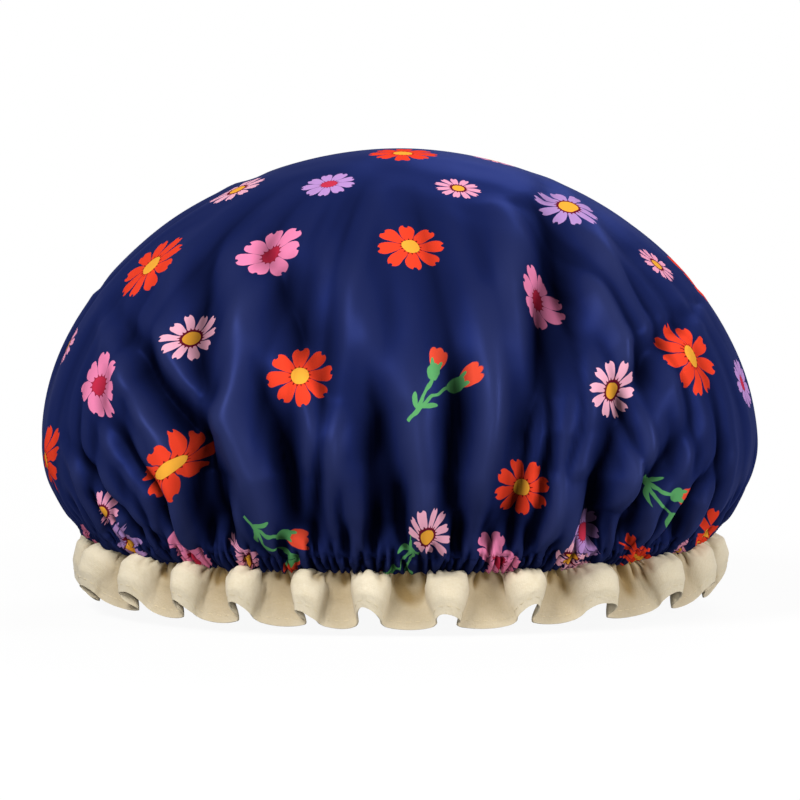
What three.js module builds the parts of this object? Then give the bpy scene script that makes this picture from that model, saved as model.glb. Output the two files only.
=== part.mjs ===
// A bouffant shower cap, shown puffed out as it sits on a head. A printed satin crown and a waterproof lining are
// sewn together round the hem, where a channel between them holds a flat elastic. A gathered ruffle hangs from the
// hem seam. Millimetres, +Z up. The front is at -Y, and angles run from the front towards +X.
import * as THREE from "three";

const { degToRad, radToDeg, lerp, mapLinear, smoothstep } = THREE.MathUtils;
const quarterTurn = 90;
const halfTurn = 180;
const fullTurn = 360;

// Crown: the dome above its widest line (the belly), and the tuck below that leads in to the hem.
const crownWidth = 238;
const crownDepth = 214;
const domeHeight = 97;
const bellyHeight = 35.5;
const domeExponent = 1.9;
const tuckLatitude = -58;
const planExponent = 2.15;

// Hem: the seam that the elastic gathers, which rises a little at the two sides.
const hemWidth = 200;
const hemDepth = 174;
const hemLift = 3;
const hemLiftExponent = 4;

// Cloth, film, elastic and thread.
const satinThick = 0.6;
const filmThick = 0.4;
const elasticWidth = 5;
const elasticThick = 0.8;
const lapLength = 12;
const threadThick = 0.4;
const sewnGap = 0.3;
const channelGap = 0.6;

// Ruffle: a gathered strip, its heading caught in the hem seam and its free edge in lobes.
const hemHeight = 20;
const headingHeight = 2.4;
const neckDrop = 2;
const ruffleThick = 0.8;
const lobeReach = 10.5;
const troughReach = 1;
const hemTurnUp = 4;
const standingCut = 0.5;
const lobeBulbShare = 0.085;
const flareExponent = 1.25;

// Folds: each valley is followed up the crown by its angle at the hem, at the belly and at three latitudes above it.
// It rises from the casing, or from its own foot, and fades out at its reach. The back repeats the front. Angles and
// latitudes are in degrees. One ridge column stands between two valleys, or two where the gap is wide.
const foldDepth = 7.5;
const ridgeShare = 0.3;
const foldFadeLatitude = 30;
const foldRootLatitude = 20;
const wideGap = 32;
const foldLatitudes = [tuckLatitude, 0, 18, 36, 54];
const frontFolds = [
  { angles: [-90, -90, -90, -90, -90], reach: 10, depthShare: 0.4 },
  { angles: [-69, -74, -78, -81, -83], reach: 14, depthShare: 0.45 },
  { angles: [-47, -60, -69, -75, -77], reach: 12, depthShare: 0.55 },
  { angles: [-35, -38, -54, -66, -70], reach: 14, depthShare: 0.2 },
  { angles: [-28, -29, -41, -57, -61], reach: 24, depthShare: 1 },
  { angles: [-21, -25, -33, -40, -54], reach: 46, depthShare: 0.45, foot: 5 },
  { angles: [-13, -15, -21, -32, -46], reach: 34, depthShare: 0.7 },
  { angles: [-7.5, -8, -12, -20, -33], reach: 60, depthShare: 0.5 },
  { angles: [-3, -4, -4, -6, -13], reach: 32, depthShare: 0.65 },
  { angles: [8, 7, 8, 10, 11], reach: 34, depthShare: 0.6 },
  { angles: [16, 18, 20, 26, 37], reach: 56, depthShare: 0.85 },
  { angles: [24, 25, 30, 36, 47], reach: 46, depthShare: 0.4, foot: -12 },
  { angles: [31, 31, 42, 53, 57], reach: 21, depthShare: 0.7 },
  { angles: [47, 58, 66, 68, 71], reach: 10, depthShare: 0.55 },
  { angles: [70, 74, 78, 81, 82], reach: 14, depthShare: 0.45 },
];
const turnedBy = (fold, turn) => ({ ...fold, angles: fold.angles.map((angle) => angle + turn) });
const folds = [0, halfTurn].flatMap((turn) => frontFolds.map((fold) => turnedBy(fold, turn)));

// Lobes: where each one stands at the front, in degrees, and how many even ones fill the rest of the hem.
const frontLobes = [-70.6, -53.3, -39.9, -27.5, -14.8, -4.7, 7.4, 22.2, 35.8, 55.2, 72.3];
const backLobeCount = 13;
const columnsPerLobe = 5;
const lobes = [...frontLobes];
const backStart = frontLobes.at(-1);
const backSpan = fullTurn - (backStart - frontLobes[0]);
for (let n = 1; n <= backLobeCount; n++) lobes.push(backStart + (backSpan * n) / (backLobeCount + 1));

// Sizes that follow from the ones above.
const casingHeight = headingHeight + elasticWidth + 3 * sewnGap;
const tuckRadius = bellyHeight / Math.sin(degToRad(-tuckLatitude));
const latitudePerMillimetre = radToDeg(1 / tuckRadius);
const casingLatitude = tuckLatitude + casingHeight * latitudePerMillimetre;
const elasticInset = satinThick + channelGap;
const headingInset = elasticInset + ruffleThick;
const ruffleDrop = hemHeight + standingCut + headingInset * Math.sin(degToRad(-tuckLatitude));
const liningInset = satinThick + sewnGap;
const casingLiningInset = elasticInset + 2 * elasticThick + sewnGap + threadThick + channelGap;
const elasticBottom = headingHeight + 2 * sewnGap;
const lapHalf = radToDeg(lapLength / hemDepth);
const ruffleColumns = lobes.length * columnsPerLobe;
const ruffleDrops = [-headingHeight, 0, neckDrop, ruffleDrop - hemTurnUp, ruffleDrop];
const crownStations = folds.flatMap((fold, index) => {
  const next = folds[(index + 1) % folds.length];
  const gaps = [tuckLatitude, foldLatitudes.at(-1)].map((latitude) =>
    smoothPoint(foldAngle(fold, latitude), latitude).distanceTo(smoothPoint(foldAngle(next, latitude), latitude)),
  );
  const shares = Math.max(...gaps) > wideGap ? [0, 1 / 3, 2 / 3] : [0, 1 / 2];
  return shares.map((across) => ({ index, across }));
});
const crownColumns = crownStations.length;
const shellLatitudes = [72, 53, 33, 17, 0, -16, -32, casingLatitude, tuckLatitude];

/** A signed power, which keeps the sign of its base. */
function signedPower(base, power) {
  return Math.sign(base) * Math.abs(base) ** power;
}

/** A point of the rounded plan outline with these half-axes, at an angle in degrees from the front. */
function planPoint(angle, halfWidth, halfDepth) {
  const power = 2 / planExponent;
  const turn = degToRad(angle);
  return new THREE.Vector2(
    halfWidth * signedPower(Math.sin(turn), power),
    -halfDepth * signedPower(Math.cos(turn), power),
  );
}

/** How far the hem seam stands above its lowest stretch at this angle. */
function liftAt(angle) {
  return hemLift * Math.abs(Math.sin(degToRad(angle))) ** hemLiftExponent;
}

/** The unfolded crown at an angle and a latitude: 90 is the apex, 0 the belly and tuckLatitude the hem seam. */
function smoothPoint(angle, latitude) {
  const belly = planPoint(angle, crownWidth / 2, crownDepth / 2);
  if (latitude >= 0) {
    const rise = Math.sin(degToRad(latitude)) ** (2 / domeExponent);
    const spread = Math.abs(Math.cos(degToRad(latitude))) ** (2 / domeExponent);
    return new THREE.Vector3(belly.x * spread, belly.y * spread, bellyHeight + domeHeight * rise);
  }
  const seam = planPoint(angle, hemWidth / 2, hemDepth / 2);
  const inShare = (1 - Math.cos(degToRad(latitude))) / (1 - Math.cos(degToRad(tuckLatitude)));
  const downShare = Math.sin(degToRad(latitude)) / Math.sin(degToRad(tuckLatitude));
  return new THREE.Vector3(
    lerp(belly.x, seam.x, inShare),
    lerp(belly.y, seam.y, inShare),
    lerp(bellyHeight, liftAt(angle), downShare),
  );
}

/** The outward normal of the unfolded crown. */
function smoothNormal(angle, latitude) {
  if (latitude >= quarterTurn) return new THREE.Vector3(0, 0, 1);
  const step = 0.5;
  const low = Math.max(latitude - step, tuckLatitude);
  const along = smoothPoint(angle + step, latitude).sub(smoothPoint(angle - step, latitude));
  const up = smoothPoint(angle, Math.min(latitude + step, quarterTurn)).sub(smoothPoint(angle, low));
  return along.cross(up).normalize();
}

/** The angle at which a fold crosses a latitude. */
function foldAngle({ angles }, latitude) {
  const above = foldLatitudes.findIndex((stop) => stop > latitude);
  if (above < 0) return angles.at(-1);
  return mapLinear(latitude, foldLatitudes[above - 1], foldLatitudes[above], angles[above - 1], angles[above]);
}

/** How much of the folds' depth a fold has at a latitude. */
function foldStrength({ reach, depthShare, foot = casingLatitude }, latitude) {
  const fromTop = smoothstep(reach - latitude, 0, foldFadeLatitude);
  const fromFoot = smoothstep(latitude - foot, 0, foldRootLatitude);
  return depthShare * fromTop * fromFoot;
}

/** Where a column of the crown stands at a latitude, and how far its folds move it out. Each fold has a valley. */
function foldedColumn(column, latitude) {
  const { index, across } = crownStations[column];
  const here = folds[index];
  const next = folds[(index + 1) % folds.length];
  const nextTurn = index + 1 === folds.length ? fullTurn : 0;
  const angle = lerp(foldAngle(here, latitude), foldAngle(next, latitude) + nextTurn, across);
  const hereDeep = foldStrength(here, latitude);
  const nextDeep = foldStrength(next, latitude);
  const valley = hereDeep * smoothstep(1 - across, 0.5, 1) + nextDeep * smoothstep(across, 0.5, 1);
  const ridge = lerp(hereDeep, nextDeep, across) * ridgeShare;
  return { angle, outward: foldDepth * (ridge * Math.sin(Math.PI * across) - valley) };
}

/** A point of the folded crown, so many millimetres inside its outer face. */
function crownPoint(column, latitude, inset) {
  const { angle, outward } = foldedColumn(column, latitude);
  return smoothPoint(angle, latitude).addScaledVector(smoothNormal(angle, latitude), outward - inset);
}

/** A mesh from its corner points and the corner numbers of its triangles. */
function meshOf(name, points, triangles, material) {
  const geometry = new THREE.BufferGeometry().setFromPoints(points);
  geometry.setIndex(triangles);
  geometry.computeVertexNormals();
  const mesh = new THREE.Mesh(geometry, material);
  mesh.name = name;
  return mesh;
}

/** The triangles of one ring of faces between two rows of corners, seen from outside with row a above row b. */
function band(a, b, columns) {
  const triangles = [];
  for (let column = 0; column < columns; column++) {
    const next = (column + 1) % columns;
    triangles.push(a + column, b + column, a + next, a + next, b + column, b + next);
  }
  return triangles;
}

/** A solid that runs all the way round: place(column, row, face) gives its outer face, 0, and its inner face, 1. */
function ringSolid(name, columns, rows, place, material) {
  const points = [];
  for (const face of [0, 1])
    for (let row = 0; row < rows; row++)
      for (let column = 0; column < columns; column++) points.push(place(column, row, face));
  const row = (face, index) => (face * rows + index) * columns;
  const triangles = [];
  for (let index = 0; index + 1 < rows; index++) {
    triangles.push(...band(row(0, index), row(0, index + 1), columns));
    triangles.push(...band(row(1, index), row(1, index + 1), columns).reverse());
  }
  triangles.push(...band(row(1, 0), row(0, 0), columns));
  triangles.push(...band(row(0, rows - 1), row(1, rows - 1), columns));
  return meshOf(name, points, triangles, material);
}

/** A domed shell of even thickness whose outer face lies insetAt(latitude) inside the crown's own outer face. */
function domeShell(name, insetAt, thick, material) {
  const columns = crownColumns;
  const rows = shellLatitudes.length;
  const points = [];
  const triangles = [];
  for (const face of [0, 1]) {
    const apex = points.length;
    points.push(crownPoint(0, quarterTurn, insetAt(quarterTurn) + face * thick));
    for (const latitude of shellLatitudes)
      for (let column = 0; column < columns; column++)
        points.push(crownPoint(column, latitude, insetAt(latitude) + face * thick));
    for (let column = 0; column < columns; column++) {
      const fan = [apex, apex + 1 + column, apex + 1 + ((column + 1) % columns)];
      triangles.push(...(face ? fan.reverse() : fan));
    }
    for (let index = 0; index + 1 < rows; index++) {
      const [upper, lower] = [index, index + 1].map((n) => apex + 1 + n * columns);
      const faces = band(upper, lower, columns);
      triangles.push(...(face ? faces.reverse() : faces));
    }
  }
  const rim = 1 + (rows - 1) * columns;
  triangles.push(...band(rim, rim + 1 + rows * columns, columns));
  return meshOf(name, points, triangles, material);
}

/** The place of one ruffle column: its angle, and how far round its lobe it is, 0 at a crest and PI in a trough. */
function lobeColumn(column) {
  const index = Math.floor(column / columnsPerLobe);
  const across = column / columnsPerLobe - index;
  const start = lobes[index % lobes.length];
  const end = index + 1 < lobes.length ? lobes[index + 1] : lobes[0] + fullTurn;
  return { start, end, across, phase: 2 * Math.PI * across };
}

/** The middle of the ruffle's cloth, so many millimetres below the seam along the cloth. */
function rufflePoint(column, drop) {
  const { start, end, across, phase } = lobeColumn(column);
  const flare = (Math.max(0, drop - neckDrop) / (ruffleDrop - neckDrop)) ** flareExponent;
  const angle = lerp(start, end, across + lobeBulbShare * flare * Math.sin(2 * phase));
  const latitude = tuckLatitude + Math.max(0, -drop) * latitudePerMillimetre;
  const root = smoothPoint(angle, latitude).addScaledVector(smoothNormal(angle, latitude), -headingInset);
  const outward = smoothNormal(angle, 0).setZ(0).normalize();
  const reach = flare * lerp(troughReach, lobeReach, (1 + Math.cos(phase)) / 2);
  const fall = Math.sqrt(Math.max(0, drop) ** 2 - reach ** 2);
  return root.addScaledVector(outward, reach).setZ(root.z - fall);
}

/** The direction that runs down the ruffle's cloth, away from the seam. */
function ruffleDown(column, drop) {
  const step = ruffleThick / 8;
  return rufflePoint(column, drop + step).sub(rufflePoint(column, drop - step)).normalize();
}

/** A point off the middle of the ruffle's cloth, along the cloth's normal. The lowest stretches are cut flat. */
function ruffleFace(column, drop, off) {
  const step = 0.05;
  const before = rufflePoint((column - step + ruffleColumns) % ruffleColumns, drop);
  const along = rufflePoint((column + step) % ruffleColumns, drop).sub(before);
  const normal = ruffleDown(column, drop).cross(along).normalize();
  const point = rufflePoint(column, drop).addScaledVector(normal, off);
  return point.setZ(Math.max(point.z, -hemHeight));
}

/** The flat elastic in its channel, with the lap where one end is sewn over the other at the back. */
function elasticBand(material) {
  const lapEdge = lapHalf / 8;
  const lap = [-lapHalf - lapEdge, -lapHalf, 0, lapHalf, lapHalf + lapEdge].map((off) => halfTurn + off);
  const even = Array.from({ length: crownColumns }, (_, n) => (fullTurn * n) / crownColumns);
  const clear = even.filter((angle) => Math.abs(angle - halfTurn) > lapHalf + 2 * lapEdge);
  const stations = [...clear, ...lap].sort((a, b) => a - b);
  const heights = [elasticBottom + elasticWidth, elasticBottom];
  const place = (column, row, face) => {
    const angle = stations[column];
    const latitude = tuckLatitude + heights[row] * latitudePerMillimetre;
    const layers = Math.abs(angle - halfTurn) < lapHalf + lapEdge / 2 ? 2 : 1;
    const inset = elasticInset + face * layers * elasticThick;
    return smoothPoint(angle, latitude).addScaledVector(smoothNormal(angle, latitude), -inset);
  };
  return ringSolid("elastic_band", stations.length, heights.length, place, material);
}

/** A thread along a closed or open line of points, each with its outward and upward directions. */
function threadAlong(name, stations, closed, material) {
  const corners = [
    [1, 1],
    [-1, 1],
    [-1, -1],
    [1, -1],
  ];
  const half = threadThick / 2;
  const points = [];
  for (const [out, up] of corners)
    for (const { at, outward, upward } of stations)
      points.push(at.clone().addScaledVector(outward, out * half).addScaledVector(upward, up * half));
  const count = stations.length;
  const triangles = [];
  const last = closed ? count : count - 1;
  corners.forEach((_, side) => {
    const [a, b] = [side * count, ((side + 1) % corners.length) * count];
    for (let n = 0; n < last; n++) {
      const next = (n + 1) % count;
      triangles.push(b + n, a + n, b + next, b + next, a + n, a + next);
    }
  });
  if (!closed)
    for (const [n, order] of [
      [0, [0, 1, 2, 0, 2, 3]],
      [count - 1, [2, 1, 0, 3, 2, 0]],
    ])
      triangles.push(...order.map((side) => side * count + n));
  return meshOf(name, points, triangles, material);
}

/** A row of stitching that runs round the crown's outer face at a latitude. */
function crownStitching(name, latitude, material) {
  const stations = [];
  for (let column = 0; column < crownColumns; column++) {
    const { angle } = foldedColumn(column, latitude);
    const outward = smoothNormal(angle, latitude);
    const ahead = smoothPoint(angle + 1, latitude).sub(smoothPoint(angle - 1, latitude)).normalize();
    const at = crownPoint(column, latitude, -sewnGap - threadThick / 2);
    stations.push({ at, outward, upward: outward.clone().cross(ahead) });
  }
  return threadAlong(name, stations, true, material);
}

/** The row of stitching that holds the ruffle's turned-up free edge, on its outer face. */
function ruffleStitching(name, material) {
  const drop = ruffleDrop - hemTurnUp;
  const off = ruffleThick / 2 + sewnGap + threadThick / 2;
  const stations = [];
  for (let column = 0; column < ruffleColumns; column++) {
    const at = ruffleFace(column, drop, off);
    const outward = at.clone().sub(ruffleFace(column, drop, 0)).normalize();
    const upward = ruffleDown(column, drop).negate();
    stations.push({ at, outward, upward });
  }
  return threadAlong(name, stations, true, material);
}

/** The zigzag that holds the elastic's lap, on the lap's inner face. */
function lapStitching(name, material) {
  const zigzags = 8;
  const swing = elasticWidth / 2 - threadThick;
  const middle = elasticBottom + elasticWidth / 2;
  const inset = elasticInset + 2 * elasticThick + sewnGap + threadThick / 2;
  const stations = [];
  for (let n = 0; n <= zigzags; n++) {
    const angle = halfTurn + lerp(-lapHalf, lapHalf, (n + 0.5) / (zigzags + 1));
    const height = middle + (n % 2 ? swing : -swing);
    const latitude = tuckLatitude + height * latitudePerMillimetre;
    const outward = smoothNormal(angle, latitude);
    const at = smoothPoint(angle, latitude).addScaledVector(outward, -inset);
    const ahead = smoothPoint(angle + 1, latitude).sub(smoothPoint(angle - 1, latitude)).normalize();
    stations.push({ at, outward, upward: outward.clone().cross(ahead) });
  }
  return threadAlong(name, stations, false, material);
}

const satin = new THREE.MeshStandardMaterial({ color: 0x1c2358, roughness: 0.35, metalness: 0 });
const film = new THREE.MeshStandardMaterial({ color: 0xe9eef0, roughness: 0.3, metalness: 0 });
const cotton = new THREE.MeshStandardMaterial({ color: 0xe8dcbf, roughness: 0.8, metalness: 0 });
const elasticWeave = new THREE.MeshStandardMaterial({ color: 0xf2f2ee, roughness: 0.9, metalness: 0 });
const navyThread = new THREE.MeshStandardMaterial({ color: 0x161b45, roughness: 0.6, metalness: 0 });
const creamThread = new THREE.MeshStandardMaterial({ color: 0xe0d2ae, roughness: 0.6, metalness: 0 });

const cap = new THREE.Group();
cap.add(domeShell("outer_crown", () => 0, satinThick, satin));
const liningInsetAt = (latitude) => (latitude <= casingLatitude ? casingLiningInset : liningInset);
cap.add(domeShell("waterproof_lining", liningInsetAt, filmThick, film));
cap.add(elasticBand(elasticWeave));
cap.add(lapStitching("elastic_lap_stitch", navyThread));
cap.add(crownStitching("casing_stitch", casingLatitude, navyThread));
cap.add(crownStitching("seam_stitch", tuckLatitude + (headingHeight / 2) * latitudePerMillimetre, navyThread));

const rufflePlace = (column, row, face) => ruffleFace(column, ruffleDrops[row], (face ? -1 : 1) * (ruffleThick / 2));
cap.add(ringSolid("ruffle", ruffleColumns, ruffleDrops.length, rufflePlace, cotton));
cap.add(ruffleStitching("ruffle_hem_stitch", creamThread));

// The cap stands on the flats of its ruffle, with its origin under its middle.
const box = new THREE.Box3().setFromObject(cap, true);
const middle = box.getCenter(new THREE.Vector3());
cap.position.set(-middle.x, -middle.y, -box.min.z);

export default cap;
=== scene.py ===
"""A printed satin shower cap with a gathered cotton ruffle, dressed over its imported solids."""

import logging
import math
from dataclasses import dataclass, field
from enum import Enum

import bpy
import numpy as np
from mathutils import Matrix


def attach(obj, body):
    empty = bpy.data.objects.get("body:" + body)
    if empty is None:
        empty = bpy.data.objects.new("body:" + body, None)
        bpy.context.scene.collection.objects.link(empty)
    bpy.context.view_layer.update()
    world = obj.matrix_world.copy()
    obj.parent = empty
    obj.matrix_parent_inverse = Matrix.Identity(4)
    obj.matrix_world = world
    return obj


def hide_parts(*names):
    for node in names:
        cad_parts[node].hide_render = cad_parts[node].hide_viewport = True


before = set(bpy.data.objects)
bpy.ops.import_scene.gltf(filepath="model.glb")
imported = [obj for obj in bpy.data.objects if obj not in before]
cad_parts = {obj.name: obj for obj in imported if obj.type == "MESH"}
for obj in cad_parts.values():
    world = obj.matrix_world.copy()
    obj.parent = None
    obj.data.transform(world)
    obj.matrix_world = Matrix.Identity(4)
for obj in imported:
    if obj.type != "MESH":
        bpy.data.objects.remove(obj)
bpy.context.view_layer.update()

LOG = logging.getLogger("shower_cap")
MM = 0.001
TURN = 2 * math.pi
# The cap's profile is measured up this line, between the flatter front and the rounder side.
PROFILE_ANGLE = math.radians(40)

Array = np.ndarray
Numbers = Array | float
Pair = tuple[float, float]
Tree = bpy.types.NodeTree
Socket = bpy.types.NodeSocket
Piece = bpy.types.Object


# Helpers


def linear(hex_colour: str) -> tuple[float, float, float, float]:
    """Turn an sRGB hex colour into the linear RGBA that shaders take.

    Args:
        hex_colour: Six hex digits, such as "1c2358".

    Returns:
        Linear red, green, blue and an alpha of 1.
    """
    channels = [int(hex_colour[i : i + 2], 16) / 255 for i in (0, 2, 4)]
    red, green, blue = (c / 12.92 if c <= 0.04045 else ((c + 0.055) / 1.055) ** 2.4 for c in channels)
    return red, green, blue, 1.0


def add_node(tree: Tree, kind: str, inputs: dict | None = None, **settings: object) -> bpy.types.Node:
    """Add a node with its settings, its values and its links.

    Args:
        tree: The node tree to add to.
        kind: Blender's name for the node.
        inputs: Socket name or number, to a value or to the output socket that feeds it.
        **settings: Properties of the node itself.

    Returns:
        The new node.
    """
    node = tree.nodes.new(kind)
    for name, value in settings.items():
        setattr(node, name, value)
    for name, value in (inputs or {}).items():
        if isinstance(value, Socket):
            tree.links.new(value, node.inputs[name])
        else:
            node.inputs[name].default_value = value
    return node


def add_steps(tree: Tree, known: dict[str, Socket], *steps: tuple) -> None:
    """Add a chain of sums, each of which reads the results before it by name.

    Args:
        tree: The node tree to add to.
        known: The results so far, by name, which the new ones join.
        *steps: For each sum the name of its result, its operation, and its values or names of results. The
            operation "MASK" goes from 0 to 1 between two values, close together for a crisp printed edge.
    """
    for name, operation, *values in steps:
        fed = {n: known[value] if isinstance(value, str) else value for n, value in enumerate(values)}
        if operation == "MASK":
            made = add_node(tree, "ShaderNodeMapRange", fed)
        else:
            made = add_node(tree, "ShaderNodeMath", fed, operation=operation)
        known[name] = made.outputs[0]


def new_material(name: str) -> bpy.types.Material:
    """Start a material with an empty node tree.

    Args:
        name: The material's name.

    Returns:
        The material.
    """
    made = bpy.data.materials.new(name)
    made.use_nodes = True
    made.node_tree.nodes.clear()
    return made


def smooth_step(value: Array, low: float, high: float) -> Array:
    """Ease from 0 at low to 1 at high."""
    share = np.clip((value - low) / (high - low), 0, 1)
    return share * share * (3 - 2 * share)


def wrapped(angle: Array) -> Array:
    """Bring angles in radians to between minus half a turn and half a turn."""
    return (angle + math.pi) % TURN - math.pi


def even_angles(count: int) -> Array:
    """Evenly spaced angles once round the cap, from the back by way of the front."""
    return np.linspace(-math.pi, math.pi, count, endpoint=False)


def spread(rng: np.random.Generator, index: int, count: int, jitter: float) -> float:
    """The angle of one of many evenly spaced gathers, moved by up to a share of their spacing."""
    return TURN * (index + rng.uniform(-jitter, jitter)) / count


def unit(vectors: Array) -> Array:
    """Scale vectors to length 1."""
    return vectors / np.maximum(np.linalg.norm(vectors, axis=-1, keepdims=True), 1e-12)


def grid_normals(grid: Array) -> Array:
    """Outward normals of a grid whose rows run down and whose columns run counter-clockwise, seen from above.

    Args:
        grid: Rows by columns of points, with the last column next to the first.

    Returns:
        A unit normal for each point.
    """
    along = np.roll(grid, -1, axis=1) - np.roll(grid, 1, axis=1)
    down = np.gradient(grid, axis=0)
    return unit(np.cross(down, along))


def ring_faces(counts: list[int], first: int = 0) -> list[tuple[int, ...]]:
    """The faces between closed rows of points, seen from outside.

    Args:
        counts: How many points each row has: as many as the row before, or a whole number of times as many.
        first: The number of the first row's first point.

    Returns:
        The point numbers of each face.
    """
    faces = []
    for above, below in zip(counts[:-1], counts[1:]):
        lower = first + above
        step = below // above
        for column in range(above):
            foot = [lower + (column * step + n) % below for n in range(step + 1)]
            faces.append((first + column, *foot, first + (column + 1) % above))
        first = lower
    return faces


def apex_faces(columns: int) -> list[tuple[int, int, int]]:
    """The faces between an apex, which is point 0, and the first closed row under it, seen from outside."""
    return [(0, 1 + c, 1 + (c + 1) % columns) for c in range(columns)]


def resampled(grid: Array, rows: Array, new_rows: Array, columns: int) -> Array:
    """Read a closed grid at other rows and at more columns, smoothly.

    Args:
        grid: Rows by columns by values, with the last column next to the first.
        rows: Where each row lies.
        new_rows: Where to read.
        columns: How many columns to read, a whole number of times as many as the grid has.

    Returns:
        The new grid.
    """
    count = grid.shape[1]
    waves = np.fft.rfft(grid, axis=1)
    wide = np.fft.irfft(waves, n=columns, axis=1) * (columns / count)
    slope = np.gradient(wide, rows, axis=0)
    below = np.clip(np.searchsorted(rows, new_rows) - 1, 0, len(rows) - 2)
    gap = (rows[below + 1] - rows[below])[:, None, None]
    share = ((new_rows - rows[below]) / gap[:, 0, 0])[:, None, None]
    share = np.clip(share, 0, 1)
    first, last = wide[below], wide[below + 1]
    lead, trail = slope[below] * gap, slope[below + 1] * gap
    square, cube = share**2, share**3
    return (
        first * (2 * cube - 3 * square + 1)
        + last * (3 * square - 2 * cube)
        + lead * (cube - 2 * square + share)
        + trail * (cube - square)
    )


def with_edge_rows(grid: Array) -> Array:
    """Repeat a grid's first and last rows, so that every row has one above it and one below it."""
    return np.pad(grid, ((1, 1),) + ((0, 0),) * (grid.ndim - 1), mode="edge")


def beside(grid: Array) -> tuple[Array, Array]:
    """A closed grid turned by one column each way, so that every point meets the two beside it."""
    return np.roll(grid, 1, axis=1), np.roll(grid, -1, axis=1)


def deselect() -> None:
    """Deselect everything, as operators act on all that is selected."""
    for item in bpy.context.selected_objects:
        item.select_set(False)


def select_only(item: Piece) -> None:
    """Make one object the only selected one, and the active one.

    Args:
        item: The object.
    """
    deselect()
    item.select_set(True)
    bpy.context.view_layer.objects.active = item


def add_mesh(name: str, points: Array, faces: list[tuple[int, ...]]) -> Piece:
    """Make a smooth-shaded object at the origin from points in millimetres.

    Args:
        name: The object's name.
        points: Points in millimetres.
        faces: Point numbers of each face.

    Returns:
        The new object.
    """
    mesh = bpy.data.meshes.new(name)
    mesh.from_pydata((np.asarray(points) * MM).tolist(), [], faces)
    mesh.update()
    mesh.polygons.foreach_set("use_smooth", [True] * len(mesh.polygons))
    item = bpy.data.objects.new(name, mesh)
    bpy.context.collection.objects.link(item)
    return item


def store(mesh: bpy.types.Mesh, name: str, kind: str, domain: str, values: Array) -> None:
    """Store values on a mesh as a named attribute.

    Args:
        mesh: The mesh.
        name: The attribute's name.
        kind: Blender's name for its type.
        domain: Blender's name for what carries it.
        values: One row for each point or corner.
    """
    layer = mesh.attributes.new(name, kind, domain)
    key = {"FLOAT": "value", "FLOAT_VECTOR": "vector", "FLOAT_COLOR": "color"}[kind]
    layer.data.foreach_set(key, values.astype(np.float32).ravel())


def corner_points(mesh: bpy.types.Mesh) -> Array:
    """Read which point each face corner lies on.

    Args:
        mesh: The mesh.

    Returns:
        The point number of each corner.
    """
    corners = np.empty(len(mesh.loops), dtype=np.int32)
    mesh.loops.foreach_get("vertex_index", corners)
    return corners


def set_uv(item: Piece, name: str, per_point: Array) -> None:
    """Store one pair of coordinates for each point as a UV map."""
    layer = item.data.uv_layers.new(name=name)
    layer.data.foreach_set("uv", per_point[corner_points(item.data)].astype(np.float32).ravel())


def stand_for(item: Piece, made: bpy.types.Material, slot: str, *nodes: str) -> None:
    """Give a piece its material, its body and the solids that it stands for.

    Args:
        item: The piece.
        made: Its material.
        slot: The record's material slot; not used.
        *nodes: The solids that it replaces.
    """
    item.data.materials.append(made)
    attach(item, "root")
    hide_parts(*nodes)


# The cap's smooth form, in millimetres, in the same frame as the solids


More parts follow.
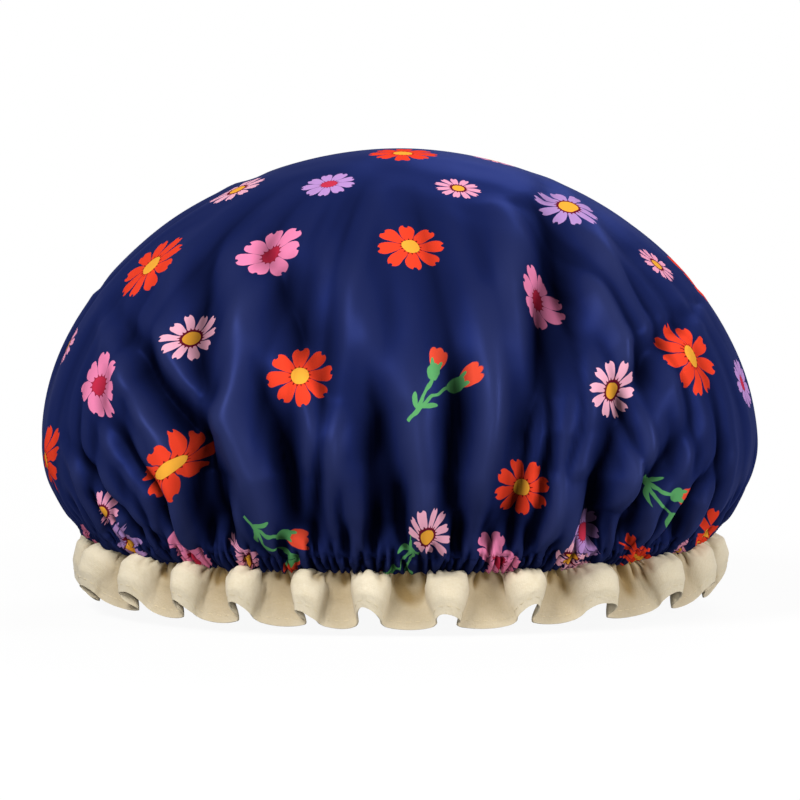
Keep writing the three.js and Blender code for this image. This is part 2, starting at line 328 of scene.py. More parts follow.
@dataclass(frozen=True)
class CapForm:
    """The unfolded cap: a dome over its widest line, a tuck under it and the hem that the elastic closes."""

    crown_width: float = 238.0
    crown_depth: float = 214.0
    dome_height: float = 97.0
    belly_height: float = 35.5
    dome_exponent: float = 1.9
    tuck_latitude: float = -58.0
    plan_exponent: float = 2.15
    hem_width: float = 200.0
    hem_depth: float = 174.0
    hem_lift: float = 3.0
    hem_lift_exponent: float = 4.0
    hem_height: float = 20.0
    casing_height: float = 8.3

    def plan(self, angle: Array, width: float, depth: float) -> tuple[Array, Array]:
        """A point of the rounded plan outline.

        Args:
            angle: Radians from the front, towards +X.
            width: Whole width of the outline.
            depth: Whole depth of the outline.

        Returns:
            X and Y.
        """
        power = 2 / self.plan_exponent
        side, front = np.sin(angle), np.cos(angle)
        return (
            width / 2 * np.sign(side) * np.abs(side) ** power,
            -depth / 2 * np.sign(front) * np.abs(front) ** power,
        )

    def point(self, angle: Array, latitude: Array) -> Array:
        """A point of the smooth crown.

        Args:
            angle: Radians from the front, towards +X.
            latitude: Degrees, 90 at the apex, 0 at the belly and tuck_latitude at the hem seam.

        Returns:
            Points in millimetres.
        """
        angle, latitude = np.broadcast_arrays(np.asarray(angle, float), np.radians(latitude))
        belly_x, belly_y = self.plan(angle, self.crown_width, self.crown_depth)
        seam_x, seam_y = self.plan(angle, self.hem_width, self.hem_depth)
        tuck = math.radians(self.tuck_latitude)
        power = 2 / self.dome_exponent
        spread = np.abs(np.cos(latitude)) ** power
        rise = np.clip(np.sin(latitude), 0, 1) ** power
        inward = (1 - np.cos(latitude)) / (1 - math.cos(tuck))
        downward = np.sin(latitude) / math.sin(tuck)
        lift = self.hem_lift * np.abs(np.sin(angle)) ** self.hem_lift_exponent
        above = latitude >= 0
        x = np.where(above, belly_x * spread, belly_x + (seam_x - belly_x) * inward)
        y = np.where(above, belly_y * spread, belly_y + (seam_y - belly_y) * inward)
        z_above = self.belly_height + self.dome_height * rise
        z_below = self.belly_height + (lift - self.belly_height) * downward
        return np.stack([x, y, np.where(above, z_above, z_below) + self.hem_height], axis=-1)

    def normal(self, angle: Array, latitude: Array) -> Array:
        """The outward unit normal of the smooth crown.

        Args:
            angle: Radians from the front, towards +X.
            latitude: Degrees, as for a point.

        Returns:
            A unit normal for each place.
        """
        step = 0.4
        low, high = np.maximum(latitude - step, self.tuck_latitude), np.minimum(latitude + step, 90)
        along = self.point(np.asarray(angle) + math.radians(step), latitude)
        along = along - self.point(np.asarray(angle) - math.radians(step), latitude)
        up = self.point(angle, high) - self.point(angle, low)
        return unit(np.cross(along, up))

    def grid(self, angle: Array, latitude: Array) -> tuple[Array, Array]:
        """The points and normals of every row at every column."""
        return self.point(angle[None, :], latitude[:, None]), self.normal(angle[None, :], latitude[:, None])

    @property
    def tuck_radius(self) -> float:
        """The radius that the tuck bends round, up from the hem seam."""
        return self.belly_height / math.sin(math.radians(-self.tuck_latitude))

    def above_seam(self, height: float) -> float:
        """The latitude that lies a height up the cloth from the hem seam."""
        return self.tuck_latitude + math.degrees(height / self.tuck_radius)

    @property
    def casing_latitude(self) -> float:
        """The latitude of the row of stitching above the elastic."""
        return self.above_seam(self.casing_height)

    def rows(self, count: int) -> tuple[Array, Array]:
        """Rows down the cloth, three times as close at the hem as at the apex, without the apex itself.

        Args:
            count: How many rows.

        Returns:
            The latitude of each row, and its distance from the apex along the cloth.
        """
        fine = np.linspace(90, self.tuck_latitude, 4001)
        line = self.point(PROFILE_ANGLE, fine)
        walked = np.concatenate([[0], np.cumsum(np.linalg.norm(np.diff(line, axis=0), axis=1))])
        share = np.arange(1, count + 1) / count
        distance = walked[-1] * (1.5 * share - 0.5 * share**2)
        return np.interp(distance, walked, fine), distance


@dataclass(frozen=True)
class StudioView:
    """The photograph's view: level with the cap, a little from above, and from far away. In millimetres."""

    elevation: float = 5.0
    distance: float = 3000.0
    frame_width: float = 266.67
    pixels: float = 800.0
    target: tuple[float, float, float] = (0.33, 0.0, 68.6)

    def basis(self) -> tuple[Array, Array, Array]:
        """Find which way the view looks.

        Returns:
            The view's right, up and backward directions.
        """
        lift = math.radians(self.elevation)
        backward = np.array([0.0, -math.cos(lift), math.sin(lift)])
        right = np.array([1.0, 0.0, 0.0])
        return right, np.cross(backward, right), backward

    def pixel(self, points: Array) -> Array:
        """Where points fall in the photograph.

        Args:
            points: Points in millimetres.

        Returns:
            Pixel across and pixel down for each point.
        """
        right, up, backward = self.basis()
        offset = points - np.array(self.target)
        away = self.distance - offset @ backward
        scale = self.pixels / self.frame_width * self.distance / away
        half = self.pixels / 2
        return np.stack([half + offset @ right * scale, half - offset @ up * scale], axis=-1)

    def place_camera(self) -> None:
        """Add the camera and make it the scene's own."""
        _, _, backward = self.basis()
        data = bpy.data.cameras.new("studio_camera")
        data.sensor_width = 36.0
        data.lens = data.sensor_width * self.distance / self.frame_width
        data.clip_end = 20.0
        camera = bpy.data.objects.new("studio_camera", data)
        camera.location = (np.array(self.target) + backward * self.distance) * MM
        camera.rotation_euler = (math.radians(90 - self.elevation), 0.0, 0.0)
        bpy.context.collection.objects.link(camera)
        bpy.context.scene.camera = camera


# Folds


@dataclass(frozen=True)
class FoldLine:
    """A valley of the crown, followed down the photograph, with its depth and half-width in millimetres."""

    pixels: tuple[Pair, ...]
    depth: float
    width: float
    ridge: float = 0.35


@dataclass(frozen=True)
class CrownFolds:
    """All the folds of the crown: the large ones that the photograph shows, and the gathers above the hem.

    The finer ones are drawn at random within ranges in millimetres: how far a streak's top lies from the
    apex, or how far up from the hem the others reach, then how deep a fold is and how wide half of it is.
    """

    form: CapForm
    view: StudioView
    large: tuple[FoldLine, ...] = (
        FoldLine(((118, 300), (137, 345), (160, 390), (190, 440), (205, 480), (228, 560)), 9.0, 6.5),
        FoldLine(((228, 222), (202, 295), (193, 340), (200, 390)), 4.0, 6.0),
        FoldLine(((262, 215), (280, 275), (302, 330), (322, 395)), 4.5, 8.0),
        FoldLine(((246, 340), (258, 375), (272, 420), (290, 480), (312, 560)), 6.5, 6.0),
        FoldLine(((366, 350), (375, 410), (370, 460), (375, 520), (372, 568)), 6.0, 6.0),
        FoldLine(((412, 440), (405, 480), (399, 520), (397, 565)), 4.0, 4.0),
        FoldLine(((452, 340), (456, 410), (452, 480), (463, 560)), 5.5, 6.0),
        FoldLine(
            ((530, 170), (540, 205), (560, 240), (570, 290), (585, 355), (585, 430), (570, 475)), 6.5, 7.0
        ),
        FoldLine(((548, 220), (547, 290), (545, 355), (535, 430), (515, 520), (505, 565)), 8.0, 7.0),
        FoldLine(((632, 370), (622, 425), (604, 480), (580, 565)), 7.5, 6.0),
        FoldLine(((700, 285), (685, 315), (655, 350), (630, 395)), 3.5, 8.0),
        FoldLine(((722, 455), (690, 505), (662, 548)), 5.5, 5.0),
        FoldLine(((70, 440), (92, 480), (130, 525), (158, 560)), 5.5, 4.5),
        FoldLine(((100, 395), (120, 440), (160, 500), (190, 562)), 4.5, 4.0),
        FoldLine(((690, 420), (664, 465), (630, 520), (612, 562)), 5.0, 5.0),
        FoldLine(((330, 440), (338, 490), (346, 562)), 4.0, 4.0),
        FoldLine(((500, 430), (494, 480), (484, 562)), 3.5, 4.0),
    )
    deepen: float = 1.2
    streak_count: int = 44
    streak_top: Pair = (30, 100)
    streak_depth: Pair = (0.4, 1.2)
    streak_width: Pair = (3.0, 6.0)
    gather_count: int = 100
    gather_reach: Pair = (24, 56)
    gather_depth: Pair = (2.4, 5.2)
    gather_width: Pair = (1.9, 3.2)
    long_gather_every: int = 6
    pucker_count: int = 292
    pucker_reach: Pair = (9.5, 17)
    pucker_depth: Pair = (1.1, 1.8)
    pucker_width: float = 0.6
    finger_count: int = 168
    finger_reach: Pair = (10, 31)
    finger_depth: Pair = (0.6, 1.7)
    finger_width: Pair = (0.8, 1.5)
    channel_puff: float = 0.55
    seed: int = 11

    def traced(self, distance: Array, latitude: Array) -> list[tuple[Array, Array, FoldLine]]:
        """Find where each large fold runs on the crown.

        Args:
            distance: Distance from the apex of each row.
            latitude: Latitude of each row.

        Returns:
            For each fold, the angle and the distance from the apex of its points, from the top down.
        """
        angles = np.radians(np.linspace(-88, 88, 353))
        spots = self.view.pixel(self.form.point(angles[None, :], latitude[:, None]))
        found = []
        for fold in self.large:
            at = []
            for across, down in fold.pixels:
                far = (spots[..., 0] - across) ** 2 + (spots[..., 1] - down) ** 2
                row, column = np.unravel_index(np.argmin(far), far.shape)
                at.append((distance[row], angles[column]))
            at.sort()
            found.append((np.array([a for _, a in at]), np.array([d for d, _ in at]), fold))
        return found

    @staticmethod
    def profile(angle: Array, line: Array, radius: Numbers, width: Numbers, ridge: float) -> Array:
        """The height of a fold across its line: a sharp valley of depth 1 between two soft ridges."""
        far = np.abs(wrapped(angle[None, :] - line) * radius / width)
        return ridge * np.exp(-((far - 1.9) ** 2) / 0.7) - np.exp(-(far**1.35))

    def add_large(self, moved: Array, angle: Array, latitude: Array, distance: Array, radius: Array) -> None:
        """Press in the large folds, which the back repeats.

        Args:
            moved: The height so far, rows by columns, which is changed.
            angle: Angle of each column.
            latitude: Latitude of each row.
            distance: Distance from the apex of each row.
            radius: Distance from the cap's axis of each row.
        """
        whole = distance[-1]
        for turned in (0.0, math.pi):
            for angles, stops, fold in self.traced(distance, latitude):
                line = np.interp(distance, stops, angles)[:, None] + turned
                top, bottom = stops[0], stops[-1]
                start = smooth_step(distance, top - 6, top + 0.35 * (bottom - top) + 6)
                end = 1 - smooth_step(distance, bottom - 4, bottom + 22) if bottom < whole - 14 else 1.0
                strength = (start * end)[:, None] * fold.depth * self.deepen
                widen = 1 + 0.35 * smooth_step(whole - distance, 20, 110)[:, None]
                moved += strength * self.profile(angle, line, radius, fold.width * widen, fold.ridge)

    def displacement(self, angle: Array, latitude: Array, distance: Array) -> Array:
        """How far the large folds and the mid-sized gathers move the cloth along its normal.

        Args:
            angle: Angle of each column.
            latitude: Latitude of each row.
            distance: Distance from the apex of each row.

        Returns:
            Rows by columns, in millimetres.
        """
        rng = np.random.default_rng(self.seed)
        radius = np.linalg.norm(self.form.point(PROFILE_ANGLE, latitude)[:, :2], axis=-1)[:, None]
        moved = np.zeros((len(distance), len(angle)))
        self.add_large(moved, angle, latitude, distance, radius)
        casing_top = self.form.casing_latitude
        casing = smooth_step(latitude, casing_top - 1, casing_top + 16)[:, None]
        moved *= casing
        climb = (distance[-1] - distance)[:, None]
        # Shallow streaks run down from the dome, where the cloth is a little too wide for it.
        for index in range(self.streak_count):
            centre = spread(rng, index, self.streak_count, 0.4)
            top = rng.uniform(*self.streak_top)
            line = centre + rng.uniform(-0.12, 0.12) * (climb / 120) ** 1.2
            begun = smooth_step(distance, top, top + 50)[:, None]
            strength = rng.uniform(*self.streak_depth) * begun * casing
            moved += strength * self.profile(angle, line, radius, rng.uniform(*self.streak_width), 0.5)
        casing_height = self.form.casing_height
        near_casing = smooth_step(climb, casing_height - 0.5, casing_height + 7)
        for index in range(self.gather_count):
            centre = spread(rng, index, self.gather_count, 0.35)
            reach = rng.uniform(*self.gather_reach) * (1.8 if index % self.long_gather_every == 0 else 1)
            depth = rng.uniform(*self.gather_depth)
            width = rng.uniform(*self.gather_width)
            line = centre + rng.uniform(-0.10, 0.10) * (climb / 60) ** 1.5
            strength = depth * (1 - smooth_step(climb, 0.25 * reach, reach)) * (0.2 + 0.8 * near_casing)
            moved += strength * self.profile(angle, line, radius, width * (0.8 + 0.5 * climb / reach), 0.3)
        return moved

    def puckers(self, angle: Array, distance: Array) -> Array:
        """How far the puckers of the sewn channel, and the narrow fingers above it, move the cloth outwards.

        Args:
            angle: Angle of each column.
            distance: Distance from the apex of each row.

        Returns:
            Rows by columns, in millimetres.
        """
        rng = np.random.default_rng(self.seed + 1)
        moved = np.zeros((len(distance), len(angle)))
        climb = distance[-1] - distance
        near = climb < 32
        climb = climb[near][:, None]
        radius = self.form.hem_width / 2
        # Thread draws the cloth flat along the two rows of stitching.
        stitched = np.exp(-(((climb - self.form.casing_height) / 0.9) ** 2)) + np.exp(-((climb / 1.2) ** 2))
        for index in range(self.pucker_count):
            centre = spread(rng, index, self.pucker_count, 0.3)
            reach = rng.uniform(*self.pucker_reach)
            depth = rng.uniform(*self.pucker_depth) * (1 - 0.35 * stitched)
            line = centre + rng.uniform(-0.02, 0.02) * climb / 10
            strength = depth * (1 - smooth_step(climb, 7.5, reach))
            moved[near] += strength * self.profile(angle, line, radius, self.pucker_width, 0.5)
        for index in range(self.finger_count):
            centre = spread(rng, index, self.finger_count, 0.4)
            reach = rng.uniform(*self.finger_reach)
            line = centre + rng.uniform(-0.05, 0.05) * climb / 25
            strength = rng.uniform(*self.finger_depth) * smooth_step(climb, 5.5, 9)
            strength = strength * (1 - smooth_step(climb, 0.3 * reach, reach))
            moved[near] += strength * self.profile(angle, line, radius, rng.uniform(*self.finger_width), 0.5)
        moved[near] += self.channel_puff * (1 - smooth_step(climb, 6.5, 9.5)) - 0.1 * stitched
        return moved


@dataclass(frozen=True)
class ClothPass:
    """The simulation in which the gathered satin settles, because its rings are longer than their room."""

    frames: int = 28
    gather_frames: int = 12
    quality: int = 7
    mass: float = 0.1
    stretch: float = 15.0
    shear: float = 5.0
    bend: float = 20.0
    goal: float = 50.0
    air_damping: float = 2.0

    def settle(self, start: Array, cut: Array, hold: Array) -> Array:
        """Let the cloth settle.

        Args:
            start: Rows by columns of points to start from, in millimetres.
            cut: The same points on the cloth's unstrained form.
            hold: How firmly each row is held where it starts, from 0 to 1.

        Returns:
            The settled rows by columns, in millimetres.
        """
        rows, columns = start.shape[:2]
        shapes = []
        for grid in (start, cut):
            apex, foot = grid[0].mean(axis=0, keepdims=True), grid[-1].mean(axis=0, keepdims=True)
            shapes.append(np.vstack([apex, grid.reshape(-1, 3), foot]))
        last, foot = 1 + (rows - 1) * columns, 1 + rows * columns
        faces = apex_faces(columns) + ring_faces([columns] * rows, 1)
        faces += [(last + c, foot, last + (c + 1) % columns) for c in range(columns)]
        item = add_mesh("settling_satin", shapes[1], faces)
        item.shape_key_add(name="cut")
        gathered = item.shape_key_add(name="gathered")
        gathered.data.foreach_set("co", (shapes[0] * MM).ravel())
        for frame_number, value in ((1, 0.0), (self.gather_frames, 1.0)):
            gathered.value = value
            gathered.keyframe_insert("value", frame=frame_number)
        group = item.vertex_groups.new(name="hold")
        group.add([0, foot], 1.0, "REPLACE")
        for row, weight in enumerate(hold):
            group.add(list(range(1 + row * columns, 1 + (row + 1) * columns)), float(weight), "REPLACE")
        self.set_up(item.modifiers.new("cloth", "CLOTH"))
        for number in range(1, self.frames + 1):
            bpy.context.scene.frame_set(number)
        shaped = item.evaluated_get(bpy.context.evaluated_depsgraph_get()).data
        found = np.empty(len(shaped.vertices) * 3)
        shaped.vertices.foreach_get("co", found)
        drawn = item.data.shape_keys.animation_data.action
        bpy.data.objects.remove(item, do_unlink=True)
        bpy.data.actions.remove(drawn)
        bpy.context.scene.frame_set(1)
        return found.reshape(-1, 3)[1:-1].reshape(start.shape) / MM

    def set_up(self, cloth: bpy.types.ClothModifier) -> None:
        """Give the cloth its stiffness and its hold, with no gravity and no collision.

        Args:
            cloth: The modifier.
        """
        settings = cloth.settings
        settings.quality = self.quality
        settings.mass = self.mass
        settings.tension_stiffness = settings.compression_stiffness = self.stretch
        settings.shear_stiffness = self.shear
        settings.bending_stiffness = self.bend
        settings.air_damping = self.air_damping
        settings.vertex_group_mass = "hold"
        settings.pin_stiffness = self.goal
        settings.effector_weights.gravity = 0.0
        cloth.collision_settings.use_collision = False
        cloth.collision_settings.use_self_collision = False
        cloth.point_cache.frame_end = self.frames


# Printed motifs


# The colours of a motif, each stored on the cloth under its name.
INKS = ("petal", "heart", "rim")


class Motif(Enum):
    """The kinds of printed motif.

    Each has the number of petals, the colours of petals, heart and rim, the radius in millimetres, the
    petals' width, and the radius of the rim as a share of the motif's.
    """

    RED_LARGE = (9, "f0432a", "f5ad3c", "7d1a18", 14.3, 1.52, 0.27)
    RED_SMALL = (8, "f0432a", "f5ad3c", "7d1a18", 11.6, 1.56, 0.27)
    PINK = (7, "ee86b0", "c42f4b", "9c2440", 11.4, 1.76, 0.28)
    LILAC_LARGE = (10, "b78fcb", "f5ad3c", "6d1830", 12.2, 1.44, 0.33)
    LILAC_SMALL = (9, "bf92d2", "cb3650", "8a1d4a", 9.2, 1.66, 0.28)
    BLUSH_LARGE = (10, "f2b0c6", "f5ad3c", "6d1830", 10.2, 1.38, 0.35)
    BLUSH_SMALL = (11, "ee9fbd", "f5ad3c", "6d1830", 7.9, 1.42, 0.36)
    SPRIG = (0, "ee5038", "f5ad3c", "5fa868", 16.5, 1.0, 0.0)

    @property
    def family(self) -> str:
        """The first word of the kind's name, which large and small ones share."""
        return self.name.split("_")[0]

    @property
    def radius(self) -> float:
        """The motif's radius in millimetres."""
        return self.value[4]

    @property
    def colours(self) -> dict[str, str]:
        """The colours of the petals, the heart and the rim."""
        return dict(zip(INKS, self.value[1:4]))

    @property
    def shape(self) -> tuple[float, float, float]:
        """The number of petals, their width and the rim's radius."""
        return self.value[0], self.value[5], self.value[6]


@dataclass(frozen=True)
class Cut:
    """The crown as cut cloth: its rings of a radius, each at a distance from the apex, in millimetres."""

    distance: Array
    radius: Array

    def unrolled(self, angle: Array, distance: Array, place: float, stop: float) -> tuple[Array, Array]:
        """Unroll the cloth round one motif's middle.

        Args:
            angle: Angles of the points, as the cloth runs.
            distance: Distances of the points from the apex.
            place: The middle's angle.
            stop: The middle's distance from the apex.

        Returns:
            Across and up, in millimetres from the middle.
        """
        away = wrapped(angle - place)
        here = float(np.interp(stop, self.distance, self.radius))
        slope = np.gradient(self.radius, self.distance)
        grow = float(np.clip(np.interp(stop, self.distance, slope), 0, 1))
        if grow < 0.05:
            return np.interp(distance, self.distance, self.radius) * away, stop - distance
        arm = here / grow
        reach = arm + (distance - stop)
        return reach * np.sin(grow * away), arm - reach * np.cos(grow * away)

    def drop(self) -> Array:
        """How far each row lies below the first one."""
        step, wider = np.diff(self.distance), np.diff(self.radius)
        return np.concatenate([[0], np.cumsum(np.sqrt(np.maximum(step**2 - wider**2, 0)))])


@dataclass(frozen=True)
class PrintLayout:
    """Where the motifs lie on the cloth: scattered evenly by a seeded draw, no two of a kind together."""

    seed: int = 5
    area_each: float = 1560.0
    # Motifs of one family stand this much farther apart, and a gap counts no more beyond the widest.
    apart: float = 16.0
    widest_gap: float = 17.0
    first_tries: int = 60
    more_tries: int = 12
    shares: tuple[tuple[Motif, int], ...] = (
        (Motif.RED_LARGE, 3),
        (Motif.RED_SMALL, 2),
        (Motif.PINK, 3),
        (Motif.LILAC_LARGE, 2),
        (Motif.LILAC_SMALL, 2),
        (Motif.BLUSH_LARGE, 3),
        (Motif.BLUSH_SMALL, 4),
        (Motif.SPRIG, 3),
    )

    def scatter(self, cut: Cut) -> list[tuple[float, float, float, Motif]]:
        """Draw the places, each the best of many tries, the largest motifs first.

        Args:
            cut: The cloth.

        Returns:
            For each motif its angle, its distance from the apex, its turn and its kind.
        """
        rng = np.random.default_rng(self.seed)
        ring = TURN * cut.radius
        area = float(np.sum((ring[1:] + ring[:-1]) / 2 * np.diff(cut.distance)))
        count = int(area / self.area_each)
        weights = np.cumsum(ring) / np.sum(ring)
        round_robin = [kind for kind, share in self.shares for _ in range(share)]
        kinds = [round_robin[n % len(round_robin)] for n in rng.permutation(count)]
        kinds.sort(key=lambda kind: -kind.radius)
        placed: list[tuple[float, float, float, Motif]] = []
        spots = np.zeros((0, 3))
        for index, kind in enumerate(kinds):
            tries = self.first_tries + self.more_tries * index
            stop = np.interp(rng.random(tries), weights, cut.distance)
            angle = rng.uniform(-math.pi, math.pi, tries)
            at = np.stack([np.cos(angle), np.sin(angle)], axis=-1)
            at = at * np.interp(stop, cut.distance, cut.radius)[:, None]
            at = np.concatenate([at, np.interp(stop, cut.distance, cut.drop())[:, None]], axis=1)
            best = 0
            if len(spots):
                gap = np.linalg.norm(at[:, None] - spots[None], axis=-1)
                like = np.array([self.apart * (kind.family == other.family) for *_, other in placed])
                gap -= np.array([other.radius for *_, other in placed])[None] + kind.radius + like[None]
                room = np.minimum(gap.min(axis=1), self.widest_gap)
                best = int(np.argmax(room + 0.02 * rng.random(tries)))
            placed.append((float(angle[best]), float(stop[best]), float(rng.uniform(0, TURN)), kind))
            spots = np.vstack([spots, at[best]])
        return placed

    def dress(self, item: Piece, angle: Array, distance: Array, cut: Cut) -> int:
        """Store, on each face, the coordinates and the colours of the motif that it may show.

        Args:
            item: The crown, its points numbered row by row after the apex.
            angle: For each point, its angle as the cloth runs.
            distance: For each point, its distance from the apex.
            cut: The cloth.

        Returns:
            How many motifs were printed.
        """
        placed = self.scatter(cut)
        mesh = item.data
        corners = corner_points(mesh)
        starts, totals = (np.empty(len(mesh.polygons), dtype=np.int32) for _ in range(2))
        mesh.polygons.foreach_get("loop_start", starts)
        mesh.polygons.foreach_get("loop_total", totals)
        owner = np.repeat(np.arange(len(starts)), totals)
        first = corners[starts]
        best = np.full(len(starts), np.inf)
        chosen = np.full(len(starts), -1)
        for number, (place, stop, _, kind) in enumerate(placed):
            x, y = cut.unrolled(angle[first], distance[first], place, stop)
            far = np.hypot(x, y) / kind.radius
            closer = far < best
            best[closer], chosen[closer] = far[closer], number
        uv = np.zeros((len(corners), 2))
        shape = np.zeros((len(corners), 3))
        colours = {name: np.ones((len(corners), 4)) for name in INKS}
        for number, (place, stop, turn, kind) in enumerate(placed):
            mine = chosen[owner] == number
            at = corners[mine]
            x, y = cut.unrolled(angle[at], distance[at], place, stop)
            uv[mine, 0] = (x * math.cos(turn) - y * math.sin(turn)) / kind.radius
            uv[mine, 1] = (x * math.sin(turn) + y * math.cos(turn)) / kind.radius
            shape[mine] = kind.shape
            for name, code in kind.colours.items():
                colours[name][mine] = linear(code)
        layer = mesh.uv_layers.new(name="motif")
        layer.data.foreach_set("uv", uv.astype(np.float32).ravel())
        store(mesh, "motif_shape", "FLOAT_VECTOR", "CORNER", shape)
        for name, values in colours.items():
            store(mesh, name, "FLOAT_COLOR", "CORNER", values)
        return len(placed)


# Finishes


@dataclass(frozen=True)
class PrintedSatin:
    """Polyester satin with a screen print: long floats give a broad soft sheen; painted shade darkens its
    folds and a painted highlight lightens their crests.

    The print's shapes are given as shares of a motif's radius. A stem has its bend and the height of its top,
    a bud its place, turn and size, and each ellipse on a sprig its place, its half-widths and its turn.
    """

    ground: str = "17204c"
    roughness: float = 0.44
    ink_roughness: float = 0.6
    # The colour of the painted highlight on fold crests.
    painted_crest_colour: str = "333b68"
    edge_tint: str = "c0c8ff"
    coloured_sheen: float = 0.23
    float_width: float = 0.1
    float_pitch: float = 0.8
    wander: float = 0.14
    stem_foot: float = -0.95
    stems: tuple[Pair, ...] = ((0.20, 0.2), (-0.16, 0.05))
    buds: tuple[tuple[Pair, float, float], ...] = (((0.33, 0.30), -24.0, 1.0), ((-0.22, 0.14), 20.0, 0.88))
    bud_petals: tuple[tuple[Pair, Pair, float], ...] = (
        ((0.0, 0.38), (0.115, 0.25), 0.0),
        ((-0.11, 0.34), (0.115, 0.25), 10.0),
        ((0.11, 0.34), (0.115, 0.25), -10.0),
    )
    bud_cups: tuple[tuple[Pair, Pair, float], ...] = (
        ((0.0, 0.0), (0.15, 0.20), 0.0),
        ((-0.09, 0.14), (0.05, 0.15), 14.0),
        ((0.09, 0.14), (0.05, 0.15), -14.0),
    )
    leaves: tuple[tuple[Pair, Pair, float], ...] = (
        ((0.16, -0.46), (0.055, 0.20), -46.0),
        ((-0.14, -0.56), (0.05, 0.17), 44.0),
    )

    @staticmethod
    def ellipse(tree: Tree, uv: Socket, at: Pair, size: Pair, turn: float) -> Socket:
        """A mask that is 1 inside an ellipse.

        Args:
            tree: The node tree.
            uv: The coordinates to read.
            at: The ellipse's middle.
            size: Its two half-widths.
            turn: Its turn in degrees.

        Returns:
            The mask.
        """
        place = {"Vector": uv, "Location": (*at, 0), "Rotation": (0, 0, math.radians(turn))}
        place["Scale"] = (*size, 1)
        own = add_node(tree, "ShaderNodeMapping", place, vector_type="TEXTURE").outputs[0]
        known = {"far": add_node(tree, "ShaderNodeVectorMath", {0: own}, operation="LENGTH").outputs["Value"]}
        add_steps(tree, known, ("inside", "MASK", "far", 1.05, 0.95))
        return known["inside"]

    @staticmethod
    def flower(tree: Tree, known: dict[str, Socket]) -> None:
        """Add masks of a flower seen from above: notched petals round a ragged rim and a round heart.

        Args:
            tree: The node tree.
            known: The motif's own coordinates "uv", "x" and "y", which reach 1 at the petal tips, and its
                "count" of petals, their width "wide" and the "rim_radius". The masks "petal", "rim" and
                "heart" join them.
        """
        reach = add_node(tree, "ShaderNodeVectorMath", {0: known["uv"]}, operation="LENGTH")
        known["reach"] = reach.outputs["Value"]
        add_steps(
            tree,
            known,
            ("number", "MAXIMUM", "count", 1.0),
            ("around", "ARCTAN2", "y", "x"),
            ("turns", "DIVIDE", "number", TURN),
            ("turns", "MULTIPLY", "around", "turns"),
            ("turns", "ADD", "turns", 100.5),
            ("which", "FLOOR", "turns"),
        )
        own = add_node(tree, "ShaderNodeTexWhiteNoise", {"W": known["which"]}, noise_dimensions="1D")
        known["own"] = own.outputs["Value"]
        add_steps(
            tree,
            known,
            # Each petal has its own length, and is measured along its middle line and away from it.
            ("share", "FRACT", "turns"),
            ("share", "SUBTRACT", "share", 0.5),
            ("slant", "DIVIDE", TURN, "number"),
            ("slant", "MULTIPLY", "share", "slant"),
            ("length", "MULTIPLY_ADD", "own", 0.09, 0.92),
            ("along", "COSINE", "slant"),
            ("along", "MULTIPLY", "reach", "along"),
            ("along", "DIVIDE", "along", "length"),
            ("away", "SINE", "slant"),
            ("away", "MULTIPLY", "reach", "away"),
            ("away", "ABSOLUTE", "away"),
            # A petal is a blunt oval, wider towards its tip.
            ("long_way", "SUBTRACT", "along", 0.58),
            ("long_way", "DIVIDE", "long_way", 0.42),
            ("bulge", "MULTIPLY_ADD", "long_way", 0.45, 1.0),
            ("width", "DIVIDE", "wide", "number"),
            ("width", "MULTIPLY", "width", "bulge"),
            ("ends", "ABSOLUTE", "long_way"),
            ("ends", "POWER", "ends", 2.8),
            ("sides", "DIVIDE", "away", "width"),
            ("sides", "POWER", "sides", 2.2),
            ("petal", "ADD", "ends", "sides"),
            ("petal", "MASK", "petal", 1.06, 0.96),
            # Each petal's tip has a small notch, and the ground shows between petals.
            ("deep", "SUBTRACT", "along", 1.03),
            ("deep", "POWER", "deep", 2.0),
            ("across", "MULTIPLY", "away", 1.6),
            ("across", "POWER", "across", 2.0),
            ("notch", "ADD", "deep", "across"),
            ("notch", "MASK", "notch", 0.012, 0.0145),
            ("petal", "MULTIPLY", "petal", "notch"),
            ("gap", "DIVIDE", math.pi, "number"),
            ("gap", "MULTIPLY", "reach", "gap"),
            ("gap", "SUBTRACT", "gap", "away"),
            ("gap", "MASK", "gap", 0.006, 0.014),
            ("petal", "MULTIPLY", "petal", "gap"),
            # Two rays for each petal make the rim ragged.
            ("rays", "MULTIPLY", "number", 2.0),
            ("rays", "MULTIPLY", "around", "rays"),
            ("rays", "COSINE", "rays"),
            ("rays", "MULTIPLY_ADD", "rays", 0.5, 0.5),
            ("rays", "POWER", "rays", 3.0),
            ("rim", "MULTIPLY_ADD", "rays", 0.075, "rim_radius"),
            ("rim", "SUBTRACT", "reach", "rim"),
            ("rim", "MASK", "rim", 0.006, -0.006),
            ("heart", "MASK", "reach", 0.271, 0.261),
            ("shown", "GREATER_THAN", "count", 0.5),
            *((name, "MULTIPLY", name, "shown") for name in INKS),
        )

